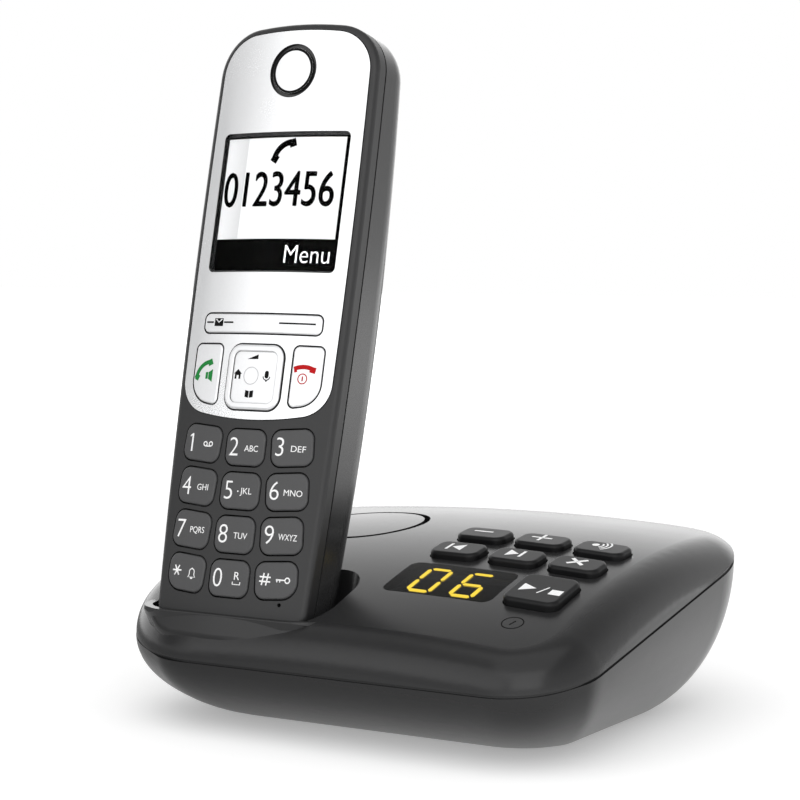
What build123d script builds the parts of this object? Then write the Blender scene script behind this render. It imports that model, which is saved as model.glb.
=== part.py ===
"""Answering machine: a cordless handset standing in the charging cradle of its base station.

Row frame: millimetres, +Z up, +X to the right of the user, -Y towards the user, origin on
the table under the middle of the base. The base is a low pebble: a domed upper shell and a
bowl-shaped lower shell that meet on a plane rising towards the back. The handset leans back
in a cup at the left. It is modelled in its own frame: x across, y up from its bottom end,
z out of its face, with z = 0 on the ridge of the crowned face.
"""

from build123d import *
import math
import os

os.makedirs("parts", exist_ok=True)

# ---------------------------------------------------------------- shared values
gap = 0.3                     # clearance between pieces that move past each other
seat = 0.05                   # clearance of pieces that are fitted in place
wall = 2.2                    # side wall of the base shells
roof = 1.6                    # wall of the domed top
line_width = 0.45             # visible shadow line between two shells
line_depth = 0.7

# ---------------------------------------------------------------- base, outer form
base_width = 136.0
base_depth = 120.0
back_corner = 31.6            # plan radii of the corners
front_left_corner = 33.9
front_right_corner = 20.5
seam_front = 18.2             # height of the seam plane at the front edge
seam_slope = 0.205            # rise of the seam plane per mm towards the back
dome_rise = 3.9               # the dome's crest over the seam at the back edge
dome_crest_back = 29.3        # and how far it lies in front of that edge
dome_crest = seam_front + seam_slope * base_depth + dome_rise
dome_crest_y = base_depth / 2 - dome_crest_back
dome_along = 217.0            # dome radius seen from the side
dome_across = 704.0           # dome radius seen from the front
edge_round = 11.0             # rounding between the dome and the side wall
back_overhang = 5.5           # how far the rounded block reaches past the seam at the back
foot_height = 1.0             # the shell floor stands this far off the table
floor_thick = 2.0
bowl_side_inset = 16.3        # how far the bowl draws in, left and right
bowl_end_inset = 22.5         # and front and back
bowl_corner_share = 0.31      # share by which its corner radii shrink
bowl_end_angle = 67.3         # slope at which the bowl reaches the table, degrees
bowl_levels = (0.0, 14.0, 28.0, 42.0, 55.0, bowl_end_angle)

# ---------------------------------------------------------------- base, keys and display
key_width = 13.7
key_height = 8.9
key_corner = 2.8
key_proud = 1.7
key_pitch = 16.53
key_first_x = 14.2
key_front_row_y = -12.44
key_back_row_y = 1.1
play_width = 14.7
play_height = 15.1
play_x = 46.4
play_y = -29.35
display_width = 30.1
display_height = 16.7
display_corner = 2.5
display_x = 21.0
display_y = -28.55
display_thick = 1.2
key_travel = 0.8
key_flange = 0.9              # collar that keeps a key behind the shell
key_flange_thick = 0.8
key_edge = 0.9                # rounding of a key's upper edge
key_flange_top = 2.1          # upper side of the collar below the surface
key_board_top = 6.6           # face of the key board above the seam plane
key_board_thick = 1.6
key_board = (57.0, 50.0)
key_board_middle = (31.2, -14.5)
key_board_posts = ((4.5, 8.2), (4.5, -19.0), (57.2, 5.0), (57.2, -17.0))
key_board_post = 1.8
mat_thick = 1.0
mat_keys = (48.5, 27.0)
mat_play = (18.0, 18.0)
dome_radius = 2.6
display_ledge = 1.5
led_module = (27.0, 14.0, 4.0)

# ---------------------------------------------------------------- base, loudspeaker
speaker_x = -27.15
speaker_y = 9.6
speaker_radius = 17.2
speaker_groove = 1.6
speaker_cap_thick = 1.8
basket_depth = 5.0
basket_wall = 1.6
basket_ledge = 5.5
cap_post_radius = 1.1
cap_post_ring = 13.4
cap_posts = 4
felt_thick = 0.5
loudspeaker_radius = 16.0
loudspeaker_depth = 7.0

# ---------------------------------------------------------------- base, sockets and boards
socket_x = (-28.0, -12.0)     # power and telephone line, seen from the front
socket_body = (13.2, 15.0, 12.0)
socket_mouth = (9.8, 11.0, 6.8)
latch_width = 4.6              # notch for the plug's latch
latch_depth = 6.0
latch_rise = 1.6
recess_width = 36.0
recess_low = 8.0
recess_high = 24.0
recess_face_y = 44.0
recess_wall = 1.8
main_board = (72.0, 56.0, 1.6)
main_board_x = -2.0
main_board_y = 14.0
main_board_z = 9.0
post_radius = 3.6
screw_shank = 1.4
screw_head = 2.7
screw_head_thick = 1.8
screw_length = 14.0
screw_seat = 4.0              # the screw heads sit this far above the floor's underside
standoff_radius = 3.0
screw_recess = 3.0
screw_places = ((-46.0, 17.0), (46.0, 17.0), (-27.15, -21.0))
post_top = 14.0               # where the posts of the two shells meet
foot_radius = 5.5
foot_recess = 0.8
foot_chamfer = 0.4
foot_x = 36.0
foot_y = 27.0

# ---------------------------------------------------------------- handset, outer form
lean = 12.92                  # degrees back from upright
handset_x = -27.15
handset_y = -56.55            # lowest point of the face's ridge
handset_z = 23.97
handset_length = 155.0
bottom_half = 21.8            # half widths along the handset
middle_half = 24.25
middle_at = 76.0
top_half = 23.6
end_bulge_top = 2.2
end_bulge_bottom = 1.2
top_corner = 12.5
bottom_corner = 9.0
crown = 155.0                 # radius of the face across its width
back_low = 19.6               # thickness at the bottom, in the middle and at the top
back_middle = 21.6
back_high = 18.4
face_round = 1.6
back_round = 8.5
shell_split = 5.7             # depth of the seam between front and back shell
case_wall = 1.8
face_wall = 2.4
cradle_clear = 0.45           # around the handset's foot in the cup
cradle_wall = 2.0
mouth_half = 26.5             # mouth of the cup: half width, front and back
mouth_front = 0.5
mouth_back = -24.3
mouth_corner = 9.5
mouth_low = 5.0               # the mouth narrows towards the foot below this level
mouth_taper = 30.0
mouth_taper_depth = 7.0
rim_height = 29.6             # level of the cup's rim in front of the handset

# ---------------------------------------------------------------- handset, face
panel_margin = 1.95           # silver panel inside the outline
panel_gap = 0.22
panel_half = 22.3
panel_bottom = 53.8
panel_bottom_rise = 3.0
panel_bottom_corner = 8.5
panel_thick = 1.0
panel_proud = 0.12
lens_width = 37.94
lens_bottom = 91.0
lens_top = 126.8
lens_corner = 1.5
lens_thick = 1.2
screen_margin = 0.6
ear_y = 142.6
ear_outer = 6.95
ear_inner = 5.9
ear_depth = 1.5
ear_ring_sink = 0.5
receiver_radius = 6.5
receiver_top = 3.2
soft_width = 35.2
soft_bottom = 75.4
soft_top = 80.3
soft_corner = 1.6
soft_floor = -4.2             # underside of the rocking bar
soft_collar_width = 15.0
navigation_side = 16.4
navigation_y = 64.35
navigation_corner = 3.5
navigation_proud = 0.8
navigation_rim = 1.8          # width of its raised frame
navigation_edge = 0.7         # rounding of the frame's outer edge
navigation_inner_edge = 0.35
navigation_sink = 0.5
navigation_boss = 2.2
navigation_boss_top = -0.2
navigation_pad = 3.0
navigation_pad_thick = 0.35
call_inner = 10.7
call_outer = 19.1
call_top = 72.5
call_margin = 2.6             # call keys follow the panel's edge at this distance
call_corner = 1.5

digit_y = 36.0                # middle of the key 5
digit_pitch_x = 13.4
digit_pitch_y = 10.8
digit_width = 11.5
digit_height = 9.0
digit_corner = 2.6
digit_outer_corner = 4.2      # lower outer corners of the star and hash keys
digit_arc = 157.0             # the rows of keys bend upwards on this radius
digit_proud = 0.35
digit_edge = 0.45
digit_gap = 0.35
digit_travel = 0.5
digit_collar = 0.6
digit_collar_thick = 0.6

board_top = 6.2               # handset circuit board, below the face
board_thick = 1.2
board_margin = 3.4
handset_mat = 0.7             # key mat on the handset board
lcd_size = (36.0, 34.0)
lcd_top = 3.6
microphone_x = 14.6
microphone_y = 7.7
microphone_port = (15.05, 9.18)
microphone_radius = 1.8
microphone_top = 3.9
microphone_hole = 0.5
cell_radius = 5.25
cell_length = 44.5
cell_pitch = 11.4
cell_depth = 13.9
bay_middle = 67.0
bay_length = 52.0
bay_half = 12.2
bay_wall = 0.9
bay_floor_top = -7.7
cell_nipple = (2.6, 1.0)      # radius and length of the cell's positive end
contact_sheet = 0.4
spring_low = 3.6
spring_high = 2.4
cover_half = 17.5
cover_low = 36.0
cover_high = 98.0
cover_corner = 3.0
cover_thick = 1.6
cover_lip = 1.4
deck_thick = 1.2
grip_from_top = 8.0           # grip ridges of the cover
grip_width = 16.0
grip_pitch = 2.0
grip_count = 4
grip_depth = 0.4
case_screw_x = 15.6
case_screw_y = 86.0
case_boss = 2.8
front_boss = 2.2
case_shank = 0.9
case_head = 1.8
case_head_thick = 1.2
case_seat = 14.0              # depth of the screw head's seat below the face
case_screw_end = 3.4
handset_line = 0.35
handset_line_depth = 0.5
ringer_y = 126.0
ringer_radius = 7.5
ringer_depth = 4.0
slot_count = 5
slot_pitch = 2.6
slot_width = 1.1
slot_length = 10.0
contact_x = 9.0               # charging contacts, each side of the middle
contact_size = (5.0, 3.2)
contact_depth_z = -11.0
foot_plate_thick = 0.6
blade_top = -1.4              # charging blades of the base, along the handset's length
blade_low = -4.3
blade_width = 3.6
blade_thick = 0.6


# ================================================================ helpers
def at_angle(cx, cy, radius, angle):
    """Point on a circle, angle in degrees."""
    turn = math.radians(angle)
    return (cx + radius * math.cos(turn), cy + radius * math.sin(turn))


def quarter(cx, cy, radius, start):
    """Quarter circle that begins at the given angle."""
    return ThreePointArc(
        at_angle(cx, cy, radius, start),
        at_angle(cx, cy, radius, start + 45),
        at_angle(cx, cy, radius, start + 90),
    )


def one(shape):
    """The single solid of a result."""
    solids = shape.solids()
    return solids[0] if len(solids) == 1 else max(solids, key=lambda s: s.volume)


def joined(solids):
    """Separate solids as one node."""
    return Compound(children=list(solids))


def key_solid(sketch, collar, proud, depth, edge):
    """A key cap about its own surface plane, with the collar that holds it behind the shell."""
    cap = Pos(0, 0, -depth) * extrude(sketch, depth + proud)
    cap = fillet(cap.faces().sort_by(Axis.Z)[-1].edges(), edge)
    rim = Pos(0, 0, -depth) * extrude(offset(sketch, collar), key_flange_thick)
    return one(cap + rim)


# ================================================================ base form
def seam_height(y):
    return seam_front + seam_slope * (y + base_depth / 2)


def dome_height(x, y):
    return dome_crest - (y - dome_crest_y) ** 2 / (2 * dome_along) - x**2 / (2 * dome_across)


def dome_plane(x, y, sink=0.0):
    """Plane that touches the dome above a point of the plan."""
    normal = Vector(x / dome_across, (y - dome_crest_y) / dome_along, 1).normalized()
    origin = Vector(x, y, dome_height(x, y)) - normal * sink
    return Plane(origin=origin, x_dir=(1, 0, -x / dome_across), z_dir=normal)


def base_outline(inset=0.0, overhang=0.0):
    """Plan of the base at its seam, drawn in by inset and lengthened at the back."""
    x = base_width / 2 - inset
    front = -base_depth / 2 + inset
    back = base_depth / 2 - inset + overhang
    b, l, r = back_corner - inset, front_left_corner - inset, front_right_corner - inset
    arcs = [
        quarter(x - b, back - b, b, 0),
        quarter(-x + b, back - b, b, 90),
        quarter(-x + l, front + l, l, 180),
        quarter(x - r, front + r, r, 270),
    ]
    sides = [Line(arcs[i] @ 1, arcs[(i + 1) % 4] @ 0) for i in range(4)]
    return make_face(arcs + sides)


def dome_solid(drop=0.0):
    """Everything below the dome: an arc across, swept on the arc along."""
    reach = base_width
    top = dome_crest - drop
    side = top - reach**2 / (2 * dome_across)
    low = top - base_width / 2
    ridge = ThreePointArc((-reach, dome_crest_y, side), (0, dome_crest_y, top), (reach, dome_crest_y, side))
    profile = make_face([
        ridge,
        Line((reach, dome_crest_y, side), (reach, dome_crest_y, low)),
        Line((reach, dome_crest_y, low), (-reach, dome_crest_y, low)),
        Line((-reach, dome_crest_y, low), (-reach, dome_crest_y, side)),
    ])
    axis = Axis((0, dome_crest_y, dome_crest - dome_along), (1, 0, 0))
    half_turn = math.degrees(base_depth / dome_along)
    return revolve(profile.rotate(axis, half_turn), axis, -2 * half_turn)


def seam_plane(shift=0.0):
    """The inclined plane between the shells, raised by shift."""
    return Plane(
        origin=(0, 0, seam_height(0) + shift), x_dir=(1, 0, 0), z_dir=(0, -seam_slope, 1)
    )


def cap_form(inset=0.0, drop=0.0, shift=0.0):
    """The part of the pebble above the seam."""
    deep = Pos(0, 0, -base_depth / 2) * extrude(base_outline(inset, back_overhang), base_depth * 1.5)
    domed = one(deep & dome_solid(drop))
    rounded = fillet(domed.faces().sort_by(Axis.Z)[-1].edges(), edge_round - inset)
    upright = Pos(0, 0, -base_depth / 2) * extrude(base_outline(inset), base_depth * 1.5)
    return one(split(one(rounded & upright), bisect_by=seam_plane(shift), keep=Keep.TOP))


def bowl_ring(inset, angle, floor, raised):
    """Level outline of the bowl: eight edges lifted from the plan to an inclined plane."""
    full = math.radians(bowl_end_angle)
    drawn = (1 - math.cos(math.radians(angle))) / (1 - math.cos(full))
    depth = math.sin(math.radians(angle)) / math.sin(full)
    x = base_width / 2 - inset - bowl_side_inset * drawn
    y = base_depth / 2 - inset - bowl_end_inset * drawn
    shrink = 1 - bowl_corner_share * drawn
    corners = (
        (1, 1, (back_corner - inset) * shrink),
        (-1, 1, (back_corner - inset) * shrink),
        (-1, -1, (front_left_corner - inset) * shrink),
        (1, -1, (front_right_corner - inset) * shrink),
    )

    def lift(point):
        height = (seam_height(point[1]) + raised) * (1 - depth) + floor * depth
        return Vector(point[0], point[1], height)

    edges = []
    for i, (sx, sy, r) in enumerate(corners):
        nx, ny, nr = corners[(i + 1) % 4]
        here = (sx * (x - r), sy * (y - r))
        there = (nx * (x - nr), ny * (y - nr))
        arc = [lift(at_angle(*here, r, 90 * i + step)) for step in (0, 22.5, 45, 67.5, 90)]
        start = lift(at_angle(*here, r, 90 * i + 90))
        end = lift(at_angle(*there, nr, 90 * i + 90))
        rise = lift((0, 1)) - lift((0, 0))
        leave = Vector(-math.sin(math.radians(90 * i)), math.cos(math.radians(90 * i)), 0)
        turn = Vector(-leave.Y, leave.X, 0)
        leave = leave + Vector(0, 0, rise.Z * leave.Y)
        turn = turn + Vector(0, 0, rise.Z * turn.Y)
        edges += [Edge.make_spline(arc, tangents=[leave, turn]), Edge.make_line(start, end)]
    return Wire(edges)


def bowl_form(inset=0.0, floor=foot_height, raised=0.0):
    """The part of the pebble below the seam."""
    return Solid.make_loft([bowl_ring(inset, a, floor, raised) for a in bowl_levels])


# ================================================================ handset form
handset_plane = Plane(
    origin=(handset_x, handset_y, handset_z),
    x_dir=(1, 0, 0),
    z_dir=(0, -math.cos(math.radians(lean)), math.sin(math.radians(lean))),
)


def in_handset(shape):
    """Moves a shape from the handset's frame to the row frame."""
    return handset_plane.location * shape


def circle_through(p, q, r):
    """Centre and radius of the circle through three points of a plane."""
    ax, ay, bx, by = q[0] - p[0], q[1] - p[1], r[0] - p[0], r[1] - p[1]
    a, b, det = ax * ax + ay * ay, bx * bx + by * by, 2 * (ax * by - ay * bx)
    cx, cy = (by * a - ay * b) / det, (ax * b - bx * a) / det
    return p[0] + cx, p[1] + cy, math.hypot(cx, cy)


def handset_outline(inset=0.0):
    """Front view of the handset: sides a little barrel-shaped, narrower at the foot."""
    shoulder = handset_length - end_bulge_top
    right = ((bottom_half, 0), (middle_half, middle_at), (top_half, shoulder))
    left = tuple((-x, y) for x, y in right)
    top = ((top_half, shoulder), (0, handset_length), (-top_half, shoulder))
    foot = ((-bottom_half, 0), (0, -end_bulge_bottom), (bottom_half, 0))
    face = None
    for side in (right, left, top, foot):
        x, y, radius = circle_through(*side)
        area = Pos(x, y) * Circle(radius - inset)
        face = area if face is None else face & area
    face = fillet(face.vertices().sort_by(Axis.Y)[:2], bottom_corner - inset)
    return fillet(face.vertices().sort_by(Axis.Y)[-2:], top_corner - inset)


def crown_solid(inset=0.0):
    """Everything behind the crowned face."""
    body = Cylinder(crown - inset, 2 * handset_length, rotation=(90, 0, 0))
    return Pos(0, handset_length / 2, -crown) * body


def back_solid(inset=0.0):
    """Everything in front of the handset's back, a long shallow arc in the side view."""
    y, z, radius = circle_through((0, -back_low), (bay_middle, -back_middle), (handset_length, -back_high))
    return Pos(0, y, z) * Cylinder(radius - inset, 4 * middle_half, rotation=(0, 90, 0))


def handset_form(inset=0.0, face_inset=None):
    """The whole handset as one rounded solid, drawn in by inset."""
    face_inset = inset if face_inset is None else face_inset
    thick = 2 * back_middle
    blank = Pos(0, 0, -thick) * extrude(handset_outline(inset), thick + crown / 4)
    body = one(blank & crown_solid(face_inset) & back_solid(inset))
    back = body.faces().sort_by(Axis.Z)[0]
    body = one(fillet(back.edges(), back_round - inset))
    front = body.faces().sort_by(Axis.Z)[-1]
    return one(fillet(front.edges(), max(face_round - inset, 0.4)))


def mouth_form(grow=0.0):
    """Mouth of the cradle: wider than the handset, narrowing into the cup."""
    width = 2 * (mouth_half + grow)
    height = mouth_front - mouth_back + 2 * grow
    middle = (mouth_front + mouth_back) / 2
    outline = RectangleRounded(width, height, mouth_corner + grow)
    above = Plane(origin=(0, mouth_low, middle), x_dir=(1, 0, 0), z_dir=(0, 1, 0))
    below = Plane(origin=(0, mouth_low, middle), x_dir=(1, 0, 0), z_dir=(0, -1, 0))
    upper = extrude(above * outline, handset_length / 4)
    lower = extrude(below * outline, mouth_taper_depth, taper=mouth_taper)
    return one(upper + lower)


def prism(sketch, low, high):
    """A sketch of the plane z = 0 as a prism between two levels."""
    return Pos(0, 0, low) * extrude(sketch, high - low)


def disc(x, y, radius, low, high):
    """Upright cylinder between two levels."""
    return Pos(x, y, (low + high) / 2) * Cylinder(radius, high - low)


def upright(sketch):
    """A plan sketch as a prism through the whole height of the base."""
    return prism(sketch, -base_depth / 2, base_depth)


def slab(sketch, low, high):
    """A plan sketch as a plate parallel to the seam, between two heights above it."""
    above = split(upright(sketch), bisect_by=seam_plane(low), keep=Keep.TOP)
    return split(above, bisect_by=seam_plane(high), keep=Keep.BOTTOM)


def rounded_at(x, y, width, height, corner):
    return Pos(x, y) * RectangleRounded(width, height, corner)


nodes = {}

# ================================================================ base, cradle
handset_outer = handset_form()
cup_outer = in_handset(one(handset_form(-(cradle_clear + cradle_wall)) + mouth_form(cradle_wall)))
pocket = in_handset(one(handset_form(-cradle_clear) + mouth_form()))

base_prism = upright(base_outline())
rim_plane = Plane.XY.offset(rim_height)
collar = split(one(cup_outer & base_prism), bisect_by=rim_plane, keep=Keep.BOTTOM)
collar = one(split(collar, bisect_by=seam_plane(), keep=Keep.TOP))
pebble_top = one(cap_form() + collar)
cup = one(cup_outer & pebble_top) + split(cup_outer, bisect_by=seam_plane(), keep=Keep.BOTTOM)
cup = one(cup)

# ================================================================ base, keys
key_spots = {
    "key_minus": (key_first_x, key_back_row_y),
    "key_plus": (key_first_x + key_pitch, key_back_row_y),
    "key_paging": (key_first_x + 2 * key_pitch, key_back_row_y),
    "key_previous": (key_first_x, key_front_row_y),
    "key_next": (key_first_x + key_pitch, key_front_row_y),
    "key_delete": (key_first_x + 2 * key_pitch, key_front_row_y),
    "key_play_stop": (play_x, play_y),
}
small_key = RectangleRounded(key_width, key_height, key_corner)
large_key = RectangleRounded(play_width, play_height, key_corner)
key_depth = key_flange_top + key_flange_thick
pads = []
key_holes = []
for name, (x, y) in key_spots.items():
    outline = large_key if name == "key_play_stop" else small_key
    place = dome_plane(x, y).location
    nodes[name] = place * key_solid(outline, key_flange, key_proud, key_depth, key_edge)
    key_holes.append(place * prism(offset(outline, gap), -key_depth, key_depth))
    pad_top = -(key_depth + key_travel + gap)
    pads.append(place * prism(Circle(dome_radius), pad_top - key_depth, pad_top))

board_outline = Pos(*key_board_middle) * Rectangle(*key_board)
nodes["base_key_board"] = one(slab(board_outline, key_board_top - key_board_thick, key_board_top))
mat_middle = (key_first_x + key_pitch, (key_front_row_y + key_back_row_y) / 2)
mat_outline = Pos(*mat_middle) * Rectangle(*mat_keys) + Pos(play_x, play_y) * Rectangle(*mat_play)
key_mat = slab(mat_outline, key_board_top, key_board_top + mat_thick)
for pad in pads:
    key_mat = key_mat + split(pad, bisect_by=seam_plane(key_board_top + mat_thick / 2), keep=Keep.TOP)
nodes["base_key_mat"] = one(key_mat)

# ================================================================ base, message display
display_outline = rounded_at(display_x, display_y, display_width, display_height, display_corner)
ledge_outline = offset(display_outline, -display_ledge)
surface = dome_solid()
below_window = dome_solid(display_thick)
nodes["message_display_window"] = one((upright(display_outline) & surface) - below_window)
display_recess = upright(offset(display_outline, seat)) - dome_solid(display_thick + seat)
led_outline = Pos(display_x, display_y) * Rectangle(led_module[0], led_module[1])
nodes["led_digit_module"] = one(slab(led_outline, key_board_top, key_board_top + led_module[2]))

# ================================================================ base, loudspeaker
speaker_place = dome_plane(speaker_x, speaker_y).location
cap_radius = speaker_radius - speaker_groove
basket_outer = speaker_radius + basket_wall
ledge_low = -basket_depth - basket_wall
basket = disc(0, 0, basket_outer, ledge_low, -roof) - disc(0, 0, speaker_radius, -basket_depth, roof)
basket = basket - disc(0, 0, speaker_radius - basket_ledge, -2 * basket_depth, roof)
basket = speaker_place * basket
speaker_hole = speaker_place * disc(0, 0, speaker_radius, -basket_depth, basket_depth)

speaker_disc = (speaker_place * disc(0, 0, cap_radius, -basket_depth, basket_depth)) & surface
speaker_disc = speaker_disc - dome_solid(speaker_cap_thick)
cap_posts_at = [at_angle(0, 0, cap_post_ring, 45 + 360 * i / cap_posts) for i in range(cap_posts)]
for x, y in cap_posts_at:
    speaker_disc = speaker_disc + speaker_place * disc(x, y, cap_post_radius, -basket_depth, -speaker_cap_thick / 2)
nodes["speaker_cap"] = one(speaker_disc)

felt = disc(0, 0, speaker_radius - seat, -basket_depth, felt_thick - basket_depth)
for x, y in cap_posts_at:
    felt = felt - disc(x, y, cap_post_radius + seat, -2 * basket_depth, 0)
nodes["speaker_mesh"] = speaker_place * one(felt)

cone_edge = loudspeaker_radius - 3
magnet = loudspeaker_radius * 0.55
driver = Polyline(
    (0, -loudspeaker_depth),
    (magnet, -loudspeaker_depth),
    (magnet, -loudspeaker_depth * 0.55),
    (loudspeaker_radius - 1, -1.6),
    (loudspeaker_radius, -1.6),
    (loudspeaker_radius, 0),
    (cone_edge, 0),
    (magnet * 0.6, -loudspeaker_depth * 0.45),
    (0, -loudspeaker_depth * 0.3),
    close=True,
)
driver = revolve(Plane.XZ * make_face(driver), Axis.Z)
nodes["loudspeaker"] = speaker_place * (Pos(0, 0, ledge_low) * one(driver))

# ================================================================ base, shells
upper_shell = pebble_top - cap_form(wall, roof, -1.0)
upper_shell = one(upper_shell) + cup
upper_shell = upper_shell + (basket & pebble_top)
for x, y in screw_places:
    boss = disc(x, y, post_radius, post_top, 2 * dome_crest) & pebble_top
    boss_low = disc(x, y, post_radius, post_top, seam_height(y))
    upper_shell = upper_shell + boss + boss_low
board_above = seam_plane(key_board_top)
for x, y in key_board_posts:
    boss = disc(x, y, key_board_post, 0, 2 * dome_crest)
    upper_shell = upper_shell + split(boss & pebble_top, bisect_by=board_above, keep=Keep.TOP)
upper_shell = upper_shell - pocket - speaker_hole - display_recess - upright(ledge_outline)
for hole in key_holes:
    upper_shell = upper_shell - hole
screw_top = foot_height + screw_seat + screw_length
for x, y in screw_places:
    upper_shell = upper_shell - disc(x, y, screw_shank + seat / 2, 0, screw_top + 1)

floor_top = foot_height + floor_thick
bowl = bowl_form()
lower_shell = one(bowl - bowl_form(wall, floor_top, 1.0))
for x, y in screw_places:
    lower_shell = lower_shell + disc(x, y, post_radius, floor_top - 1, post_top)
board_low = main_board_z
for sx in (-1, 1):
    for sy in (-1, 1):
        x = main_board_x + sx * (main_board[0] / 2 - 4)
        y = main_board_y + sy * (main_board[1] / 2 - 4)
        lower_shell = lower_shell + (disc(x, y, standoff_radius, foot_height, board_low) & bowl)

recess_x = sum(socket_x) / 2
recess_mid_z = (recess_low + recess_high) / 2
recess_tall = recess_high - recess_low
far = base_depth
niche = Pos(recess_x, recess_face_y + far / 2, recess_mid_z) * Box(recess_width, far, recess_tall)
niche_walls = Pos(recess_x, recess_face_y - recess_wall + far / 2, recess_mid_z) * Box(
    recess_width + 2 * recess_wall, far, recess_tall + 2 * recess_wall
)
lower_shell = lower_shell + (niche_walls & bowl) - niche

socket_low = main_board_z + main_board[2]
socket_mid_z = socket_low + socket_body[2] / 2
socket_places = {"power_socket": socket_x[0], "line_socket": socket_x[1]}
for name, x in socket_places.items():
    body = Pos(x, recess_face_y - socket_body[1] / 2, socket_mid_z) * Box(*socket_body)
    mouth = Pos(x, recess_face_y - socket_mouth[1] / 2, socket_mid_z) * Box(
        socket_mouth[0], socket_mouth[1] + 2 * seat, socket_mouth[2]
    )
    mouth = Pos(0, seat, 0) * mouth
    latch = Pos(x, recess_face_y - latch_depth / 2 + seat, socket_mid_z + socket_mouth[2] / 2) * Box(
        latch_width, latch_depth, 2 * latch_rise
    )
    nodes[name] = one(body - mouth - latch)
    port = Pos(x, recess_face_y - socket_body[1] / 2, socket_mid_z) * Box(
        socket_body[0] + 2 * seat, socket_body[1] + 2, socket_body[2] + 2 * seat
    )
    lower_shell = lower_shell - port

for x, y in screw_places:
    lower_shell = lower_shell - disc(x, y, screw_recess, -1, foot_height + screw_seat)
    lower_shell = lower_shell - disc(x, y, screw_shank + gap, 0, post_top + 1)
for sx in (-1, 1):
    for sy in (-1, 1):
        lower_shell = lower_shell - disc(sx * foot_x, sy * foot_y, foot_radius + seat, -1, foot_height + foot_recess)
shadow = upright(base_outline(-2)) - upright(base_outline(line_width))
shadow = split(shadow, bisect_by=seam_plane(-line_depth), keep=Keep.TOP)
lower_shell = lower_shell - shadow

feet = []
for sx in (-1, 1):
    for sy in (-1, 1):
        foot = disc(sx * foot_x, sy * foot_y, foot_radius, 0, foot_height + foot_recess)
        feet.append(one(chamfer(foot.faces().sort_by(Axis.Z)[0].edges(), foot_chamfer)))
nodes["base_feet"] = joined(feet)

screws = []
for x, y in screw_places:
    head_low = foot_height + screw_seat - screw_head_thick
    head = disc(x, y, screw_head, head_low, foot_height + screw_seat)
    head = head - (Pos(x, y, head_low) * Box(0.8, 2.6, 1.6)) - (Pos(x, y, head_low) * Box(2.6, 0.8, 1.6))
    screws.append(one(head + disc(x, y, screw_shank, foot_height + screw_seat - 0.5, screw_top)))
nodes["base_screws"] = joined(screws)

board = Pos(main_board_x, main_board_y, main_board_z + main_board[2] / 2) * Box(*main_board)
nodes["base_main_board"] = board

# ================================================================ base, charging contacts
blades = []
for side in (-1, 1):
    x = side * contact_x
    blade = Pos(x, (blade_top + blade_low) / 2, contact_depth_z) * Box(
        blade_width, blade_top - blade_low, blade_thick
    )
    flange = Pos(x, blade_low - blade_thick / 2, contact_depth_z) * Box(
        blade_width + 2, blade_thick, blade_width
    )
    blades.append(in_handset(one(blade + flange)))
    slot = Pos(x, blade_low, contact_depth_z) * Box(
        blade_width + 2 * seat, 12, blade_thick + 2 * seat
    )
    upper_shell = upper_shell - in_handset(slot)
nodes["base_charging_contacts"] = joined(blades)
nodes["base_upper_shell"] = one(upper_shell)
nodes["base_lower_shell"] = one(lower_shell)


# ================================================================ handset, shells
def face_plate(outline, top, thick):
    """A plate that follows the crowned face: top above the surface, thick through."""
    blank = prism(outline, -crown / 8, crown / 8)
    return one((blank & crown_solid(-top)) - crown_solid(thick - top))


def face_hole(outline, depth):
    """Room in front of a crowned surface that lies depth below the face."""
    return prism(outline, -crown / 8, crown / 8) - crown_solid(depth)


def face_key(outline, collar, bottom, collar_thick):
    """A key that follows the face, with a collar behind it."""
    cap = one(prism(outline, bottom, crown / 8) & crown_solid(-digit_proud))
    cap = fillet(cap.faces().sort_by(Axis.Z)[-1].edges(), digit_edge)
    if collar:
        cap = cap + prism(offset(outline, collar), bottom, bottom + collar_thick)
    return one(cap)


split_plane = Plane.XY.offset(-shell_split)
hollow = handset_form(case_wall, face_wall)
board_bottom = -board_top - board_thick
front_shell = split(one(handset_outer - hollow), bisect_by=split_plane, keep=Keep.TOP)
back_shell = split(one(handset_outer - hollow), bisect_by=split_plane, keep=Keep.BOTTOM)
front_shell, back_shell = one(front_shell), one(back_shell)

# silver panel
panel_arc = circle_through(
    (-panel_half, panel_bottom + panel_bottom_rise),
    (0, panel_bottom),
    (panel_half, panel_bottom + panel_bottom_rise),
)


def panel_outline(grow=0.0):
    """The silver panel follows the handset and ends in a shallow arc above the keypad."""
    round_end = Pos(panel_arc[0], panel_arc[1]) * Circle(panel_arc[2] + grow)
    area = handset_outline(panel_margin - grow) & round_end
    return fillet(area.vertices().sort_by(Axis.Y)[:2], panel_bottom_corner + grow)


panel_sketch = panel_outline()
lens_middle = (lens_bottom + lens_top) / 2
lens_outline = rounded_at(0, lens_middle, lens_width, lens_top - lens_bottom, lens_corner)
screen_outline = offset(lens_outline, -screen_margin)
soft_outline = rounded_at(0, (soft_bottom + soft_top) / 2, soft_width, soft_top - soft_bottom, soft_corner)
navigation_outline = rounded_at(0, navigation_y, navigation_side, navigation_side, navigation_corner)
call_middle = (call_inner + call_outer) / 2
call_block = Pos(call_middle, call_top - call_top / 6) * Rectangle(call_outer - call_inner, call_top / 3)
panel_inner = Pos(panel_arc[0], panel_arc[1]) * Circle(panel_arc[2] - call_margin)
end_outline = call_block & panel_inner
outer_foot = end_outline.vertices().sort_by(lambda v: v.Y - v.X)[0]
end_outline = fillet(outer_foot, panel_bottom_corner - call_margin)
sharp = end_outline.vertices().sort_by(Axis.Y)[-2:] + end_outline.vertices().sort_by(lambda v: v.Y + v.X)[:1]
end_outline = fillet(sharp, call_corner)
talk_outline = mirror(end_outline, about=Plane.YZ)
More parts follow.
